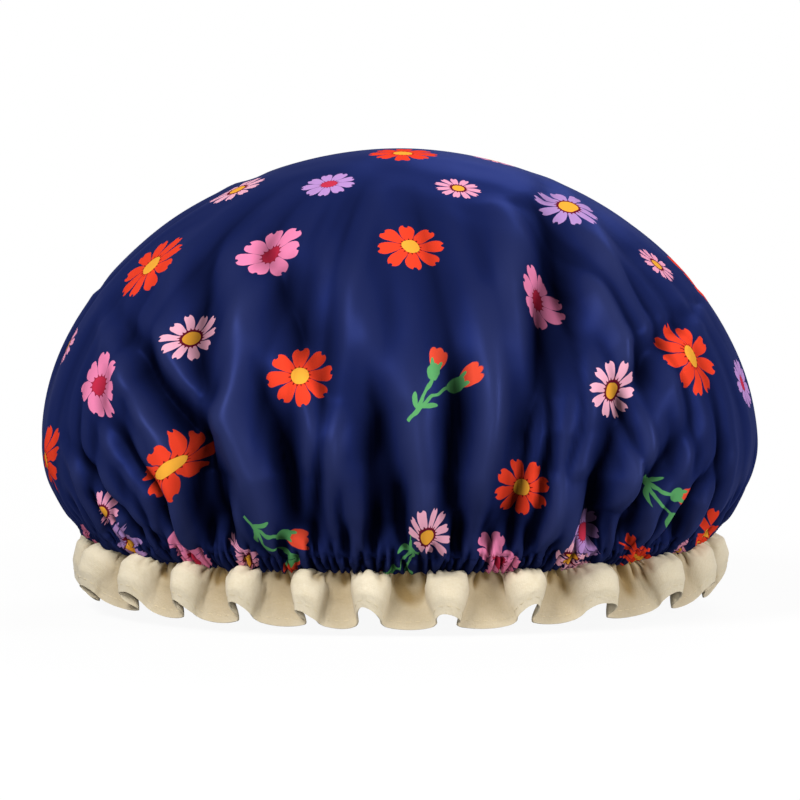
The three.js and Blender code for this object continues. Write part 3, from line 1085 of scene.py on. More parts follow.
    def sprig(self, tree: Tree, known: dict[str, Socket]) -> None:
        """Add masks of two half-open buds on stems that meet at a foot, with two small leaves.

        Args:
            tree: The node tree.
            known: The motif's own coordinates "uv", "x" and "y", and its "count" of petals, 0 for a sprig.
                The masks "bud" and "green" join them.
        """
        add_steps(
            tree,
            known,
            ("shown", "LESS_THAN", "count", 0.5),
            ("lifted", "ADD", "y", -self.stem_foot),
            ("lifted", "POWER", "lifted", 2.0),
            ("above", "GREATER_THAN", "y", self.stem_foot),
        )
        masks: dict[str, list[Socket]] = {"bud": [], "green": []}
        for bend, top in self.stems:
            add_steps(
                tree,
                known,
                ("side", "MULTIPLY", "lifted", bend),
                ("side", "SUBTRACT", "x", "side"),
                ("side", "ABSOLUTE", "side"),
                ("line", "MASK", "side", 0.040, 0.030),
                ("height", "LESS_THAN", "y", top),
                ("height", "MULTIPLY", "above", "height"),
                ("line", "MULTIPLY", "line", "height"),
            )
            masks["green"].append(known["line"])
        for at, turn, size in self.buds:
            place = {"Vector": known["uv"], "Location": (*at, 0), "Rotation": (0, 0, math.radians(turn))}
            place["Scale"] = (size, size, size)
            own = add_node(tree, "ShaderNodeMapping", place, vector_type="TEXTURE").outputs[0]
            masks["green"] += [self.ellipse(tree, own, *cup) for cup in self.bud_cups]
            masks["bud"] += [self.ellipse(tree, own, *petal) for petal in self.bud_petals]
        masks["green"] += [self.ellipse(tree, known["uv"], *leaf) for leaf in self.leaves]
        for name, parts in masks.items():
            known[name] = parts[0]
            for part in parts[1:]:
                known["part"] = part
                add_steps(tree, known, (name, "MAXIMUM", name, "part"))
            add_steps(tree, known, (name, "MULTIPLY", name, "shown"))

    def print_colour(self, tree: Tree, cloth: Socket) -> tuple[Socket, Socket]:
        """Print the motifs over the ground.

        Args:
            tree: The node tree.
            cloth: The cloth's coordinates in millimetres.

        Returns:
            The printed colour, and a mask of where the ink lies.
        """
        drawn = add_node(tree, "ShaderNodeUVMap", uv_map="motif").outputs[0]
        # Hand-cut stencils are never quite regular: edges wander by about a twentieth of a motif.
        wander = add_node(tree, "ShaderNodeTexNoise", {"Vector": cloth, "Scale": 0.16, "Detail": 1.0})
        middle = {0: wander.outputs["Color"], 1: (0.5, 0.5, 0.5)}
        shift = add_node(tree, "ShaderNodeVectorMath", middle, operation="SUBTRACT").outputs[0]
        moved = {0: shift, 1: (self.wander, self.wander, 0.0), 2: drawn}
        uv = add_node(tree, "ShaderNodeVectorMath", moved, operation="MULTIPLY_ADD").outputs[0]
        shape = add_node(tree, "ShaderNodeAttribute", attribute_name="motif_shape").outputs["Vector"]
        count, wide, rim_radius = add_node(tree, "ShaderNodeSeparateXYZ", {0: shape}).outputs
        x, y, _ = add_node(tree, "ShaderNodeSeparateXYZ", {0: uv}).outputs
        known = {"uv": uv, "x": x, "y": y, "count": count, "wide": wide, "rim_radius": rim_radius}
        self.flower(tree, known)
        self.sprig(tree, known)
        paint = {}
        for name in INKS:
            paint[name] = add_node(tree, "ShaderNodeAttribute", attribute_name=name).outputs["Color"]
        layers = {"petal": "petal", "rim": "rim", "heart": "heart", "bud": "petal", "green": "rim"}
        colour = linear(self.ground)
        for mask, ink in layers.items():
            mixed = {"Factor": known[mask], 6: colour, 7: paint[ink]}
            colour = add_node(tree, "ShaderNodeMix", mixed, data_type="RGBA").outputs[2]
        known["inked"] = known["petal"]
        add_steps(tree, known, *(("inked", "MAXIMUM", "inked", mask) for mask in list(layers)[1:]))
        return colour, known["inked"]

    def material(self) -> bpy.types.Material:
        """Build the printed satin.

        Returns:
            The material.
        """
        made = new_material("printed_polyester_satin")
        tree = made.node_tree
        cloth = add_node(tree, "ShaderNodeUVMap", uv_map="cloth").outputs[0]
        colour, inked = self.print_colour(tree, cloth)
        # The floats are 0.1 mm wide, drawn at 0.8 mm so that they show.
        scale = (1 / self.float_pitch, self.float_width / self.float_pitch, 1)
        stretched = add_node(tree, "ShaderNodeMapping", {"Vector": cloth, "Scale": scale}).outputs[0]
        floats = add_node(tree, "ShaderNodeTexNoise", {"Vector": stretched, "Scale": 1.0, "Detail": 2.0})
        height = {"Height": floats.outputs["Fac"], "Strength": 0.10, "Distance": self.float_width * MM}
        fine = add_node(tree, "ShaderNodeBump", height).outputs[0]
        # Soft dents of a few centimetres, which no fold line follows.
        broad = {"Vector": cloth, "Scale": 0.035, "Detail": 1.0, "Roughness": 0.4}
        soft = add_node(tree, "ShaderNodeTexNoise", broad)
        height = {"Height": soft.outputs["Fac"], "Strength": 0.5, "Distance": 5 * MM, "Normal": fine}
        dents = add_node(tree, "ShaderNodeBump", height).outputs[0]
        fold = add_node(tree, "ShaderNodeAttribute", attribute_name="fold_shade").outputs["Fac"]
        known = {"inked": inked, "fold": fold}
        add_steps(
            tree,
            known,
            # Light that leaves through dyed floats takes the dye's colour, as a share of metal gives it, and
            # ink is matt.
            ("sheen", "MULTIPLY_ADD", "inked", -self.coloured_sheen, self.coloured_sheen),
            # Painted shade darkens the colour in deep folds, and a painted highlight lightens the bare ground
            # toward the crest colour on fold crests, not the ink.
            ("rough", "MULTIPLY_ADD", "inked", self.ink_roughness - self.roughness, self.roughness),
            # Deep folds trap light in the floats. The crests of folds stretch them smooth, and only bare
            # floats shine there, not ink.
            ("painted_valley_shade", "MINIMUM", "fold", 1.0),
            ("bare", "SUBTRACT", 1.0, "inked"),
            ("painted_crest_highlight", "SUBTRACT", "fold", "painted_valley_shade"),
            ("painted_crest_highlight", "MULTIPLY", "painted_crest_highlight", "bare"),
        )
        folded = {0: colour, "Scale": known["painted_valley_shade"]}
        shaded = add_node(tree, "ShaderNodeVectorMath", folded, operation="SCALE").outputs[0]
        lit = {"Factor": known["painted_crest_highlight"], 6: shaded, 7: linear(self.painted_crest_colour)}
        shaded = add_node(tree, "ShaderNodeMix", lit, data_type="RGBA").outputs[2]
        surface = {
            "Base Color": shaded,
            "Roughness": known["rough"],
            "Metallic": known["sheen"],
            "Specular IOR Level": 0.0,
            # At a glancing angle the floats shine a pale blue.
            "Specular Tint": linear(self.edge_tint),
            "Normal": dents,
        }
        shader = add_node(tree, "ShaderNodeBsdfPrincipled", surface)
        add_node(tree, "ShaderNodeOutputMaterial", {"Surface": shader.outputs[0]})
        return made


@dataclass(frozen=True)
class CottonMuslin:
    """Unbleached cotton in a plain weave: matt, warm cream, a little uneven from thread to thread."""

    colour: str = "e9ddc3"
    shade: str = "dccba6"
    # The colour of painted shade in deep folds.
    deep: str = "977d4e"
    roughness: float = 0.85
    thread_pitch: float = 0.55
    thread_relief: float = 0.12
    crumple_relief: float = 1.2
    most_shade: float = 0.55

    def material(self) -> bpy.types.Material:
        """Build the cotton.

        Returns:
            The material.
        """
        made = new_material("cream_cotton_muslin")
        tree = made.node_tree
        cloth = add_node(tree, "ShaderNodeUVMap", uv_map="cloth").outputs[0]
        # Threads of 0.3 mm, drawn at 0.55 mm so that they show.
        bands = {"Vector": cloth, "Scale": TURN / 20 / self.thread_pitch, "Distortion": 1.2, "Detail": 1.0}
        known = {}
        for name, way in (("warp", "X"), ("weft", "Y")):
            wave = add_node(tree, "ShaderNodeTexWave", bands, wave_type="BANDS", bands_direction=way)
            known[name] = wave.outputs["Fac"]
        spots = {
            "blotch": {"Vector": cloth, "Scale": 0.16, "Detail": 4.0, "Roughness": 0.6},
            "slub": {"Vector": cloth, "Scale": 1.4, "Detail": 2.0},
        }
        for name, inputs in spots.items():
            known[name] = add_node(tree, "ShaderNodeTexNoise", inputs).outputs["Fac"]
        add_steps(
            tree,
            known,
            ("threads", "MULTIPLY", "warp", "weft"),
            ("uneven", "MULTIPLY", "blotch", "slub"),
            ("share", "MASK", "uneven", 0.12, 0.42, 0.0, self.most_shade),
        )
        tones = {"Factor": known["share"], 6: linear(self.colour), 7: linear(self.shade)}
        colour = add_node(tree, "ShaderNodeMix", tones, data_type="RGBA").outputs[2]
        # Painted shade: in deep folds the colour is mixed toward a darker, warmer one.
        fold = add_node(tree, "ShaderNodeAttribute", attribute_name="fold_depth").outputs["Fac"]
        tones = {"Factor": fold, 6: colour, 7: linear(self.deep)}
        colour = add_node(tree, "ShaderNodeMix", tones, data_type="RGBA").outputs[2]
        height = {"Height": known["threads"], "Strength": 0.25, "Distance": self.thread_relief * MM}
        woven = add_node(tree, "ShaderNodeBump", height).outputs[0]
        height = {"Height": known["blotch"], "Strength": 0.5, "Distance": self.crumple_relief * MM}
        height["Normal"] = woven
        crumpled = add_node(tree, "ShaderNodeBump", height).outputs[0]
        surface = {"Base Color": colour, "Roughness": self.roughness, "Normal": crumpled}
        # The cotton's nap catches light from the side.
        surface |= {"Sheen Weight": 0.2, "Sheen Roughness": 0.5}
        shader = add_node(tree, "ShaderNodeBsdfPrincipled", surface)
        add_node(tree, "ShaderNodeOutputMaterial", {"Surface": shader.outputs[0]})
        return made


@dataclass(frozen=True)
class PlainFinish:
    """A plain dyed or moulded finish with a fine grain: thread, woven elastic or waterproof film.

    The grain's size and relief are in millimetres.
    """

    name: str
    colour: str
    shade: str
    roughness: float
    grain: float
    grain_relief: float = 0.05
    transmission: float = 0.0
    gloss: float = 0.5

    def material(self) -> bpy.types.Material:
        """Build the finish.

        Returns:
            The material.
        """
        made = new_material(self.name)
        tree = made.node_tree
        place = add_node(tree, "ShaderNodeTexCoord").outputs["Object"]
        spots = {"Vector": place, "Scale": 1 / (self.grain * MM), "Detail": 3.0}
        grain = add_node(tree, "ShaderNodeTexNoise", spots).outputs["Fac"]
        tones = {"Factor": grain, 6: linear(self.colour), 7: linear(self.shade)}
        colour = add_node(tree, "ShaderNodeMix", tones, data_type="RGBA").outputs[2]
        height = {"Height": grain, "Strength": 0.4, "Distance": self.grain_relief * MM}
        bump = add_node(tree, "ShaderNodeBump", height).outputs[0]
        surface = {
            "Base Color": colour,
            "Roughness": self.roughness,
            "Transmission Weight": self.transmission,
            "Specular IOR Level": self.gloss,
            "Normal": bump,
        }
        shader = add_node(tree, "ShaderNodeBsdfPrincipled", surface)
        add_node(tree, "ShaderNodeOutputMaterial", {"Surface": shader.outputs[0]})
        return made


# Smooth film: glossy and a little clear, with broad shallow dents.
FILM = PlainFinish(
    "waterproof_film", "e6ebee", "d8dfe4", roughness=0.3, grain=4.0, grain_relief=0.3, transmission=0.15
)
# Woven elastic: matt and nearly white, with a coarse grain of rubber and yarn.
ELASTIC_WEAVE = PlainFinish("woven_elastic_polyester", "f2f2ee", "dcdcd6", roughness=0.85, grain=0.6)
# Spun thread dyed to match the satin: too matt to glint, so that its rows hardly show.
NAVY_THREAD = PlainFinish("navy_spun_thread", "161b45", "0f1333", roughness=0.8, grain=0.4, gloss=0.05)
# Undyed spun thread, a little yellower and smoother than the cotton under it.
CREAM_THREAD = PlainFinish("cream_spun_thread", "e6d8b8", "d6c59c", roughness=0.7, grain=0.4)


# Pieces


@dataclass
class Crown:
    """The printed crown, with the waterproof lining inside it. Sizes are in millimetres."""

    form: CapForm
    folds: CrownFolds
    layout: PrintLayout
    cloth: ClothPass = ClothPass()
    rows: int = 160
    columns: int = 1152
    # Faces are 8 and then 4 columns wide down to these distances from the apex, and 1 wide this near the hem.
    coarse_down_to: Pair = (28, 66)
    fine_from: float = 26
    settle_rows: int = 80
    settle_columns: int = 384
    # How much longer the rings of cloth are than their places, as shares, and where each share comes in.
    excess: tuple[tuple[float, float, float], ...] = ((0.003, 45, 90), (0.009, 80, 150), (0.024, 140, 205))
    # How firmly the settling cloth is held, and how near the apex it is held still.
    hold: float = 0.9
    held_dome: float = 30
    # The settled cloth is smoothed down to the first distance above the hem, and less and less to the second.
    smoothed_above: Pair = (22, 12)
    deepest_casing: float = 0.85
    stitch_lift: float = 0.05
    lining_rows: int = 72
    lining_columns: int = 576
    lining_pleats: int = 96
    lining_pleat_depth: float = 3.4
    pleats_begin: Pair = (1.5, 12)
    pleats_end: Pair = (45, 130)
    lining_gap: float = 1.0
    casing_gap: float = 4.1
    # How much painted shade darkens and painted highlight lightens the folds and the puckers, at the height
    # where that is strongest.
    fold_width: float = 12.0
    fold_height: float = 3.4
    fold_dark: float = 0.62
    fold_light: float = 0.32
    pucker_width: float = 1.8
    pucker_height: float = 0.55
    pucker_dark: float = 0.85
    pucker_light: float = 0.25
    moved: Array = field(init=False)
    grid: Array = field(init=False)
    distance: Array = field(init=False)

    @property
    def flat_radius(self) -> float:
        """The radius of the disc that the crown is cut from."""
        return float(self.distance[-1])

    def settled(self) -> Array:
        """Fold the crown, and let the folds settle.

        Returns:
            How far each point of the settling grid moves from the smooth form.
        """
        angle = even_angles(self.settle_columns)
        latitude, distance = self.form.rows(self.settle_rows)
        smooth, normal = self.form.grid(angle, latitude)
        start = smooth + normal * self.folds.displacement(angle, latitude, distance)[..., None]
        # The unstrained cloth is a little wider than its place, and so it also drops less from ring to ring.
        longer = sum(share * smooth_step(distance, low, high) for share, low, high in self.excess)
        grown = smooth.copy()
        grown[..., :2] *= (1 + longer)[:, None, None]
        step = np.diff(distance, prepend=0.0)
        wider = np.diff(np.linalg.norm(grown[..., :2], axis=-1).mean(axis=1), prepend=0.0)
        drop = np.cumsum(np.sqrt(np.maximum(step**2 - wider**2, 0.04 * step**2)))
        grown[..., 2] = self.form.dome_height - drop[:, None]
        whole = distance[-1]
        hold = np.full(self.settle_rows, self.hold)
        hold[distance < self.held_dome] = 1.0
        hold[distance > whole - self.form.casing_height - 0.5] = 1.0
        moved = self.cloth.settle(start, grown, hold) - smooth
        high, low = self.smoothed_above
        free = 1 - smooth_step(distance, whole - high, whole - low)[:, None, None]
        padded = with_edge_rows(moved)
        left, right = beside(moved)
        around = padded[:-2] + padded[2:] + left + right
        return moved + 0.5 * free * (around / 4 - moved)

    def fold_shade(self, angle: Array, latitude: Array, grid: Array) -> Array:
        """Painted shade and painted highlight for the satin: darker in the valleys of its folds, lighter on
        the ridges.

        Args:
            angle: Angle of each column.
            latitude: Latitude of each row.
            grid: Rows by columns of the crown's points.

        Returns:
            Rows by columns, 1 where the cloth is smooth.
        """
        base, normal = self.form.grid(angle, latitude)
        height = np.sum((grid - base) * normal, axis=-1)
        radius = np.linalg.norm(base[..., :2], axis=-1).mean(axis=1)[:, None]
        waves = np.arange(height.shape[1] // 2 + 1)[None, :]

        def softened(width: float) -> Array:
            """The height with everything finer than a width smoothed away round each row."""
            kept = np.exp(-0.5 * (waves * width / radius) ** 2)
            return np.fft.irfft(np.fft.rfft(height, axis=1) * kept, axis=1)

        wide = (softened(self.pucker_width) - softened(self.fold_width)) / self.fold_height
        fine = (height - softened(self.pucker_width)) / self.pucker_height
        dark = 1 - self.fold_dark * np.clip(-wide, 0, 1) ** 0.9
        dark = dark * (1 - self.pucker_dark * np.clip(-fine, 0, 1))
        return dark + self.fold_light * np.clip(wide, 0, 1) + self.pucker_light * np.clip(fine, 0, 1)

    def strides(self, distance: Array) -> list[int]:
        """How many columns of the full grid each row skips, so that the cloth's faces stay near one size."""
        bounds = (*self.coarse_down_to, distance[-1] - self.fine_from)
        return [8 >> sum(bool(d >= bound) for bound in bounds) for d in distance]

    def shaped(self, angle: Array, latitude: Array, distance: Array) -> Array:
        """Lay the settled folds and the puckers over the smooth form.

        Args:
            angle: Angle of each column.
            latitude: Latitude of each row.
            distance: Distance from the apex of each row.

        Returns:
            Rows by columns of points.
        """
        base, normal = self.form.grid(angle, latitude)
        settle_distance = self.form.rows(self.settle_rows)[1]
        grid = base + resampled(self.moved, settle_distance, distance, self.columns)
        grid = grid + grid_normals(grid) * self.folds.puckers(angle, distance)[..., None]
        # The sewn channel never sinks as deep as the elastic inside it.
        casing = self.form.casing_height
        sunk = -self.deepest_casing - np.sum((grid - base) * normal, axis=-1)
        sunk *= smooth_step(distance[-1] - distance, casing + 3, casing + 1)[:, None]
        return grid + normal * np.maximum(sunk, 0)[..., None]

    def build(self) -> Piece:
        """Shape the crown and print it.

        Returns:
            The crown.
        """
        angle = even_angles(self.columns)
        latitude, self.distance = self.form.rows(self.rows)
        self.moved = self.settled()
        self.grid = self.shaped(angle, latitude, self.distance)
        steps = np.linalg.norm(np.roll(self.grid, -1, axis=1) - self.grid, axis=-1)
        length = steps.sum(axis=1)
        walked = np.concatenate([np.zeros((self.rows, 1)), np.cumsum(steps, axis=1)[:, :-1]], axis=1)
        middle = self.columns // 2
        turned = (walked - walked[:, middle : middle + 1]) / length[:, None] * TURN
        strides = self.strides(self.distance)

        def kept(values: Array) -> list[Array]:
            """The values of the columns that each row keeps."""
            return [row[::stride] for row, stride in zip(values, strides)]

        lines = kept(self.grid)
        faces = apex_faces(len(lines[0])) + ring_faces([len(row) for row in lines], 1)
        crown = add_mesh("satin_crown", np.vstack([self.form.point(0.0, 90.0)[None], *lines]), faces)
        per_angle = np.concatenate([[0.0], *kept(turned)])
        per_distance = np.repeat([0.0, *self.distance], [1, *(len(row) for row in lines)])
        flat = np.stack([np.sin(per_angle), -np.cos(per_angle)], axis=-1) * per_distance[:, None]
        set_uv(crown, "OFBake", 0.5 + 0.49 * flat / self.distance[-1])
        set_uv(crown, "cloth", flat)
        # Painted shade in the valleys of the folds and puckers, and painted highlight on their ridges, for
        # the satin.
        shade = self.fold_shade(angle, latitude, self.grid)
        store(crown.data, "fold_shade", "FLOAT", "POINT", np.concatenate([[1.0], *kept(shade)]))
        cut = Cut(self.distance, length / TURN)
        count = self.layout.dress(crown, per_angle, per_distance, cut)
        LOG.info("print: %d motifs, hem %.0f mm round", count, length[-1])
        return crown

    def deepest(self, distance: Array) -> Array:
        """How deep the crown's folds reach near each point of the lining, in a softened outline.

        Args:
            distance: Distance from the apex of the lining's rows.

        Returns:
            Rows by columns of the lining, negative inwards.
        """
        latitude, settle_distance = self.form.rows(self.settle_rows)
        normal = self.form.grid(even_angles(self.settle_columns), latitude)[1]
        depth = np.sum(self.moved * normal, axis=-1)
        for _ in range(self.columns // self.settle_columns):
            depth = np.minimum(depth, np.minimum(*beside(depth)))
            padded = with_edge_rows(depth)
            depth = np.minimum(depth, np.minimum(padded[:-2], padded[2:]))
        for _ in range(2):
            padded = with_edge_rows(depth)
            left, right = beside(depth)
            depth = (depth * 2 + padded[:-2] + padded[2:] + left + right) / 6
        wide = resampled(depth[..., None], settle_distance, distance, self.columns)[..., 0]
        return wide[:, :: self.columns // self.lining_columns]

    def build_lining(self) -> Piece:
        """Shape the lining inside the crown's deepest folds, and behind the elastic at the hem.

        Returns:
            The lining.
        """
        angle = even_angles(self.lining_columns)
        latitude, distance = self.form.rows(self.lining_rows)
        smooth, normal = self.form.grid(angle, latitude)
        casing_top = self.form.casing_latitude
        casing = 1 - smooth_step(latitude, casing_top, casing_top + 12)[:, None]
        inset = self.lining_gap - self.deepest(distance)
        inset = inset * (1 - casing) + np.maximum(self.casing_gap, inset) * casing
        climb = (distance[-1] - distance)[:, None]
        gathered = smooth_step(climb, *self.pleats_begin) * (1 - smooth_step(climb, *self.pleats_end))
        # The pleats stand closer together in some places than in others.
        drift = 0.35 * np.sin(3 * angle + 0.7) + 0.25 * np.sin(7 * angle)
        pleats = 0.5 - 0.5 * np.cos(self.lining_pleats * angle + 6 * drift)
        inset = inset + self.lining_pleat_depth * gathered * pleats
        grid = smooth - normal * inset[..., None]
        apex = self.form.point(0.0, 90.0) - np.array([0, 0, self.lining_gap])
        columns = self.lining_columns
        faces = apex_faces(columns) + ring_faces([columns] * len(grid), 1)
        return add_mesh("film_lining", np.vstack([apex[None], grid.reshape(-1, 3)]), [f[::-1] for f in faces])

    def line_above_seam(self, height: float) -> tuple[Array, Array]:
        """The row of the crown nearest to a height above the seam, for stitches to lie on.

        Args:
            height: Distance up the cloth from the hem seam.

        Returns:
            The row's points, lifted a little off the cloth, and its normals.
        """
        climb = self.distance[-1] - self.distance
        row = int(np.argmin(np.abs(climb - height)))
        normals = grid_normals(self.grid)[row]
        return self.grid[row] + normals * self.stitch_lift, normals

    def dress(self, crown: Piece) -> None:
        """Give the crown its printed satin."""
        stand_for(crown, PrintedSatin().material(), "satin", "outer_crown")

    def dress_lining(self, lining: Piece) -> None:
        """Give the lining its film."""
        stand_for(lining, FILM.material(), "film", "waterproof_lining")


@dataclass
class Ruffle:
    """The gathered cotton strip: lobes that arch out of the hem seam and curl at their free edge.

    Sizes are in millimetres, and the lobes' places in degrees.
    """

    form: CapForm
    front_lobes: tuple[float, ...] = (-70.6, -53.3, -39.9, -27.5, -14.8, -4.7, 7.4, 22.2, 35.8, 55.2, 72.3)
    back_count: int = 13
    columns_per_lobe: int = 64
    rows: int = 26
    heading_rows: int = 3
    strip: float = 22.5
    heading: float = 2.4
    inset: float = 2.0
    thick: float = 0.5
    turn_up: float = 2.6
    lowest: float = 0.4
    trough_slack: float = 2.0
    lobe_pitch: float = 24.0
    lobe_reach: float = 10.6
    # How far a fold's two sides lie from the middle of its crest, as a share of the pitch, against the turn
    # from crest (0) to trough (180): half-way down, and at the lip, where the crest's neck all but shuts
    # behind its arch.
    turns: tuple[float, ...] = (0, 30, 60, 85, 110, 135, 160, 180)
    half_way: tuple[float, ...] = (0, 0.125, 0.225, 0.265, 0.285, 0.28, 0.37, 0.5)
    at_lip: tuple[float, ...] = (0, 0.075, 0.12, 0.13, 0.085, 0.13, 0.32, 0.5)
    # How far a crest stands out, as a share of its reach, and how high it lies in millimetres, against the
    # share of the strip above it.
    crest_shares: tuple[float, ...] = (0, 0.1, 0.2, 0.3, 0.5, 0.75, 1)
    crest_out: tuple[float, ...] = (0, 0.19, 0.36, 0.54, 0.85, 1.0, 0.93)
    crest_up: tuple[float, ...] = (0, -0.5, -0.3, -0.2, -2.4, -7.8, -13.2)
    # How the lobes differ from each other: their lean, reach, height, tilt, drape, and each side's curl.
    lean: Pair = (-0.5, 0.5)
    reach: Pair = (0.89, 1.11)
    lift: Pair = (0.82, 1.14)
    tilt: Pair = (-1.8, 1.8)
    drape: Pair = (0.92, 1.0)
    curl: Pair = (0.45, 1.2)
    # Small gathers that fade within a centimetre of the seam, and longer pinches that open out below it. Each
    # family has its count, depth, shortest and longest reach, half-width, how that grows on the way down, and
    # its drift.
    families: tuple[tuple[float, ...], ...] = (
        (264, 2.5, 5.0, 12.0, 0.4, 0.02, 0.0),
        (96, 1.8, 10.0, 20.0, 0.5, 0.05, 0.2),
    )
    pinch_strength: Pair = (0.6, 1.1)
    seed: int = 3
    phase: Array = field(init=False)
    seam: Array = field(init=False)
    shade: Array = field(init=False)
    grid: Array = field(init=False)
    edge_length: float = field(init=False)

    def lobe_angles(self) -> Array:
        """Place the lobes: where they are seen in front, and evenly spaced behind.

        Returns:
            The angle of each crest, in degrees, in order round the hem.
        """
        start = self.front_lobes[-1]
        span = 360 - (start - self.front_lobes[0])
        rest = [start + span * n / (self.back_count + 1) for n in range(1, self.back_count + 1)]
        return np.array([*self.front_lobes, *rest])

    def even_turns(self) -> Array:
        """Space the columns of a lobe evenly along its wave.

        Returns:
            How far round its fold each column lies, in radians.
        """
        turn = np.linspace(0, 360, 361)
        side = np.interp(np.minimum(turn, 360 - turn), self.turns, self.at_lip) * self.lobe_pitch
        out = (np.cos(np.radians(turn)) + 1) / 2 * self.lobe_reach
        length = np.hypot(np.diff(side), np.diff(out))
        length = length / length.sum() + 1 / 360
        share = np.arange(self.columns_per_lobe) / self.columns_per_lobe
        return np.radians(np.interp(share, np.concatenate([[0], np.cumsum(length)]) / length.sum(), turn))

    def surface(self) -> Array:
        """The middle of the cloth, rows down by columns round.

        Returns:
            Points in millimetres.
        """
        rng = np.random.default_rng(self.seed)
        lobes = self.lobe_angles()
        count = len(lobes)
        after = np.append(lobes[1:], lobes[0] + 360)
        start = np.repeat(lobes, self.columns_per_lobe)
        pitch = np.repeat(after - lobes, self.columns_per_lobe)
        self.phase = phase = np.tile(self.even_turns(), count)
        self.seam = np.radians(start + pitch * phase / TURN)
        index = np.repeat(np.arange(count), self.columns_per_lobe)
        blend = 0.5 - 0.5 * np.cos(phase / 2)

        def eased(values: Array) -> Array:
            """Pass smoothly from one lobe's value to the next one's."""
            return values[index] * (1 - blend) + values[(index + 1) % count] * blend

        # Lobes at the sides lean away from the front.
        lean = eased(np.clip(1.6 * np.sin(np.radians(lobes)), -1, 1) * 0.7 + rng.uniform(*self.lean, count))
        reach = eased(rng.uniform(*self.reach, count)) * self.lobe_reach
        lift = eased(rng.uniform(*self.lift, count))
        tilt = eased(rng.uniform(*self.tilt, count))
        drape = eased(rng.uniform(*self.drape, count))
        left, right = rng.uniform(*self.curl, count), rng.uniform(*self.curl, count)
        curl = np.where(phase < math.pi, right[index], left[(index + 1) % count])
        out = ((np.cos(phase) + 1) / 2) ** 0.9
        down = np.linspace(0, 1, self.rows)[:, None]

        def downward(shares: tuple[float, ...], values: tuple[float, ...]) -> Array:
            """A value for each row, read against the share of the strip above it."""
            return np.interp(down[:, 0], shares, values)[:, None]

        # Crests are puffed up below the seam and are narrow arches at their lips, where troughs open wide.
        turn = np.degrees(np.minimum(phase, TURN - phase))
        way = np.where(phase < math.pi, 1.0, -1.0)
        puffed = way * (np.interp(turn, self.turns, self.half_way) - turn / 360)
        pinched = way * (np.interp(turn, self.turns, self.at_lip) - turn / 360) * curl
        to_puff = downward((0, 0.22, 0.55, 1), (0, 0.8, 1, 0))
        to_pinch = smooth_step(down, 0.42, 1.05)
        sway = to_puff * puffed + to_pinch * pinched + 0.15 * lean * np.cos(phase) * down**1.1
        before, behind = beside(sway)
        sway = sway + 0.25 * (before + behind - 2 * sway)
        angle = np.radians(start + pitch * (phase / TURN) + pitch * sway)
        # A crest comes straight out of the seam and rolls over; a trough falls and swings out at its lip.
        crest_out = downward(self.crest_shares, self.crest_out) * reach
        crest_up = downward(self.crest_shares, self.crest_up) * lift
        crest_up = crest_up + tilt * np.sin(phase) * down**2
        trough_out = downward((0, 0.3, 0.6, 1), (0, 1.0, 2.2, 4.8)) * np.ones_like(reach)
        trough_up = -(self.strip - self.trough_slack) * down * drape
        # Painted shade darkens the troughs, less toward the lip, and the necks behind the arches.
        shut = np.interp(turn, [70, 105, 140, 165], [0, 1, 1, 0]) * curl * to_pinch
        dim = downward((0, 0.1, 0.5, 0.8, 1), (0.66, 0.72, 0.68, 0.52, 0.34))
        shade = np.maximum(dim * (1 - out) ** 1.3, 0.3 * shut)
        self.shade = np.concatenate([np.repeat(shade[:1], self.heading_rows, axis=0), shade])
        facing = self.form.normal(angle, np.zeros_like(angle))
        facing[..., 2] = 0
        grid = self.inside(angle, self.form.tuck_latitude)
        grid = grid + unit(facing) * (crest_out * out + trough_out * (1 - out))[..., None]
        grid[..., 2] += crest_up * out**1.1 + trough_up * (1 - out**1.1)
        grid[..., 2] = np.maximum(grid[..., 2], self.lowest)
        climb = np.linspace(self.heading, 0, self.heading_rows, endpoint=False)
        hidden = np.array([self.inside(angle[0], self.form.above_seam(rise)) for rise in climb])
        return np.concatenate([hidden, grid])

    def inside(self, angle: Array, latitude: float) -> Array:
        """Points just inside the crown, where the strip's heading lies."""
        return self.form.point(angle, latitude) - self.form.normal(angle, latitude) * self.inset

    def gathers(self, grid: Array) -> Array:
        """Add the fine gathers that fan out from the seam, and the soft creases below them.

        Args:
            grid: The middle of the cloth.

        Returns:
            The same grid, gathered.
        """
        rng = np.random.default_rng(self.seed + 1)
        below = np.linspace(0, 1, self.rows) * self.strip
        down = np.concatenate([np.zeros(self.heading_rows), below])[:, None]
        radius = np.linalg.norm(grid[self.heading_rows, :, :2], axis=-1)[None, :]
        pinch = np.zeros(grid.shape[:2])
        for count, depth, short, long, wide, opening, drift in self.families:
            for index in range(count):
                centre = spread(rng, index, count, 0.35)
                reach = rng.uniform(short, long)
                bent = rng.uniform(-drift, drift) * down
                offset = (wrapped(self.seam - centre)[None, :] * radius - bent) / (wide + opening * down)
                fade = (1 - smooth_step(down, 0.4 * reach, reach)) * smooth_step(down, -0.5, 1.0)
                pinch += depth * rng.uniform(*self.pinch_strength) * np.exp(-(np.abs(offset) ** 1.4)) * fade
        low = 0.7 + 0.3 * (1 - np.cos(self.phase)) / 2
        # Painted shade darkens the cloth along the pinched creases.
        self.shade = np.clip(self.shade + 0.85 * np.clip(pinch * low / 1.6 - 0.1, 0, 1), 0, 1)
        return grid - grid_normals(grid) * (pinch * low)[..., None]

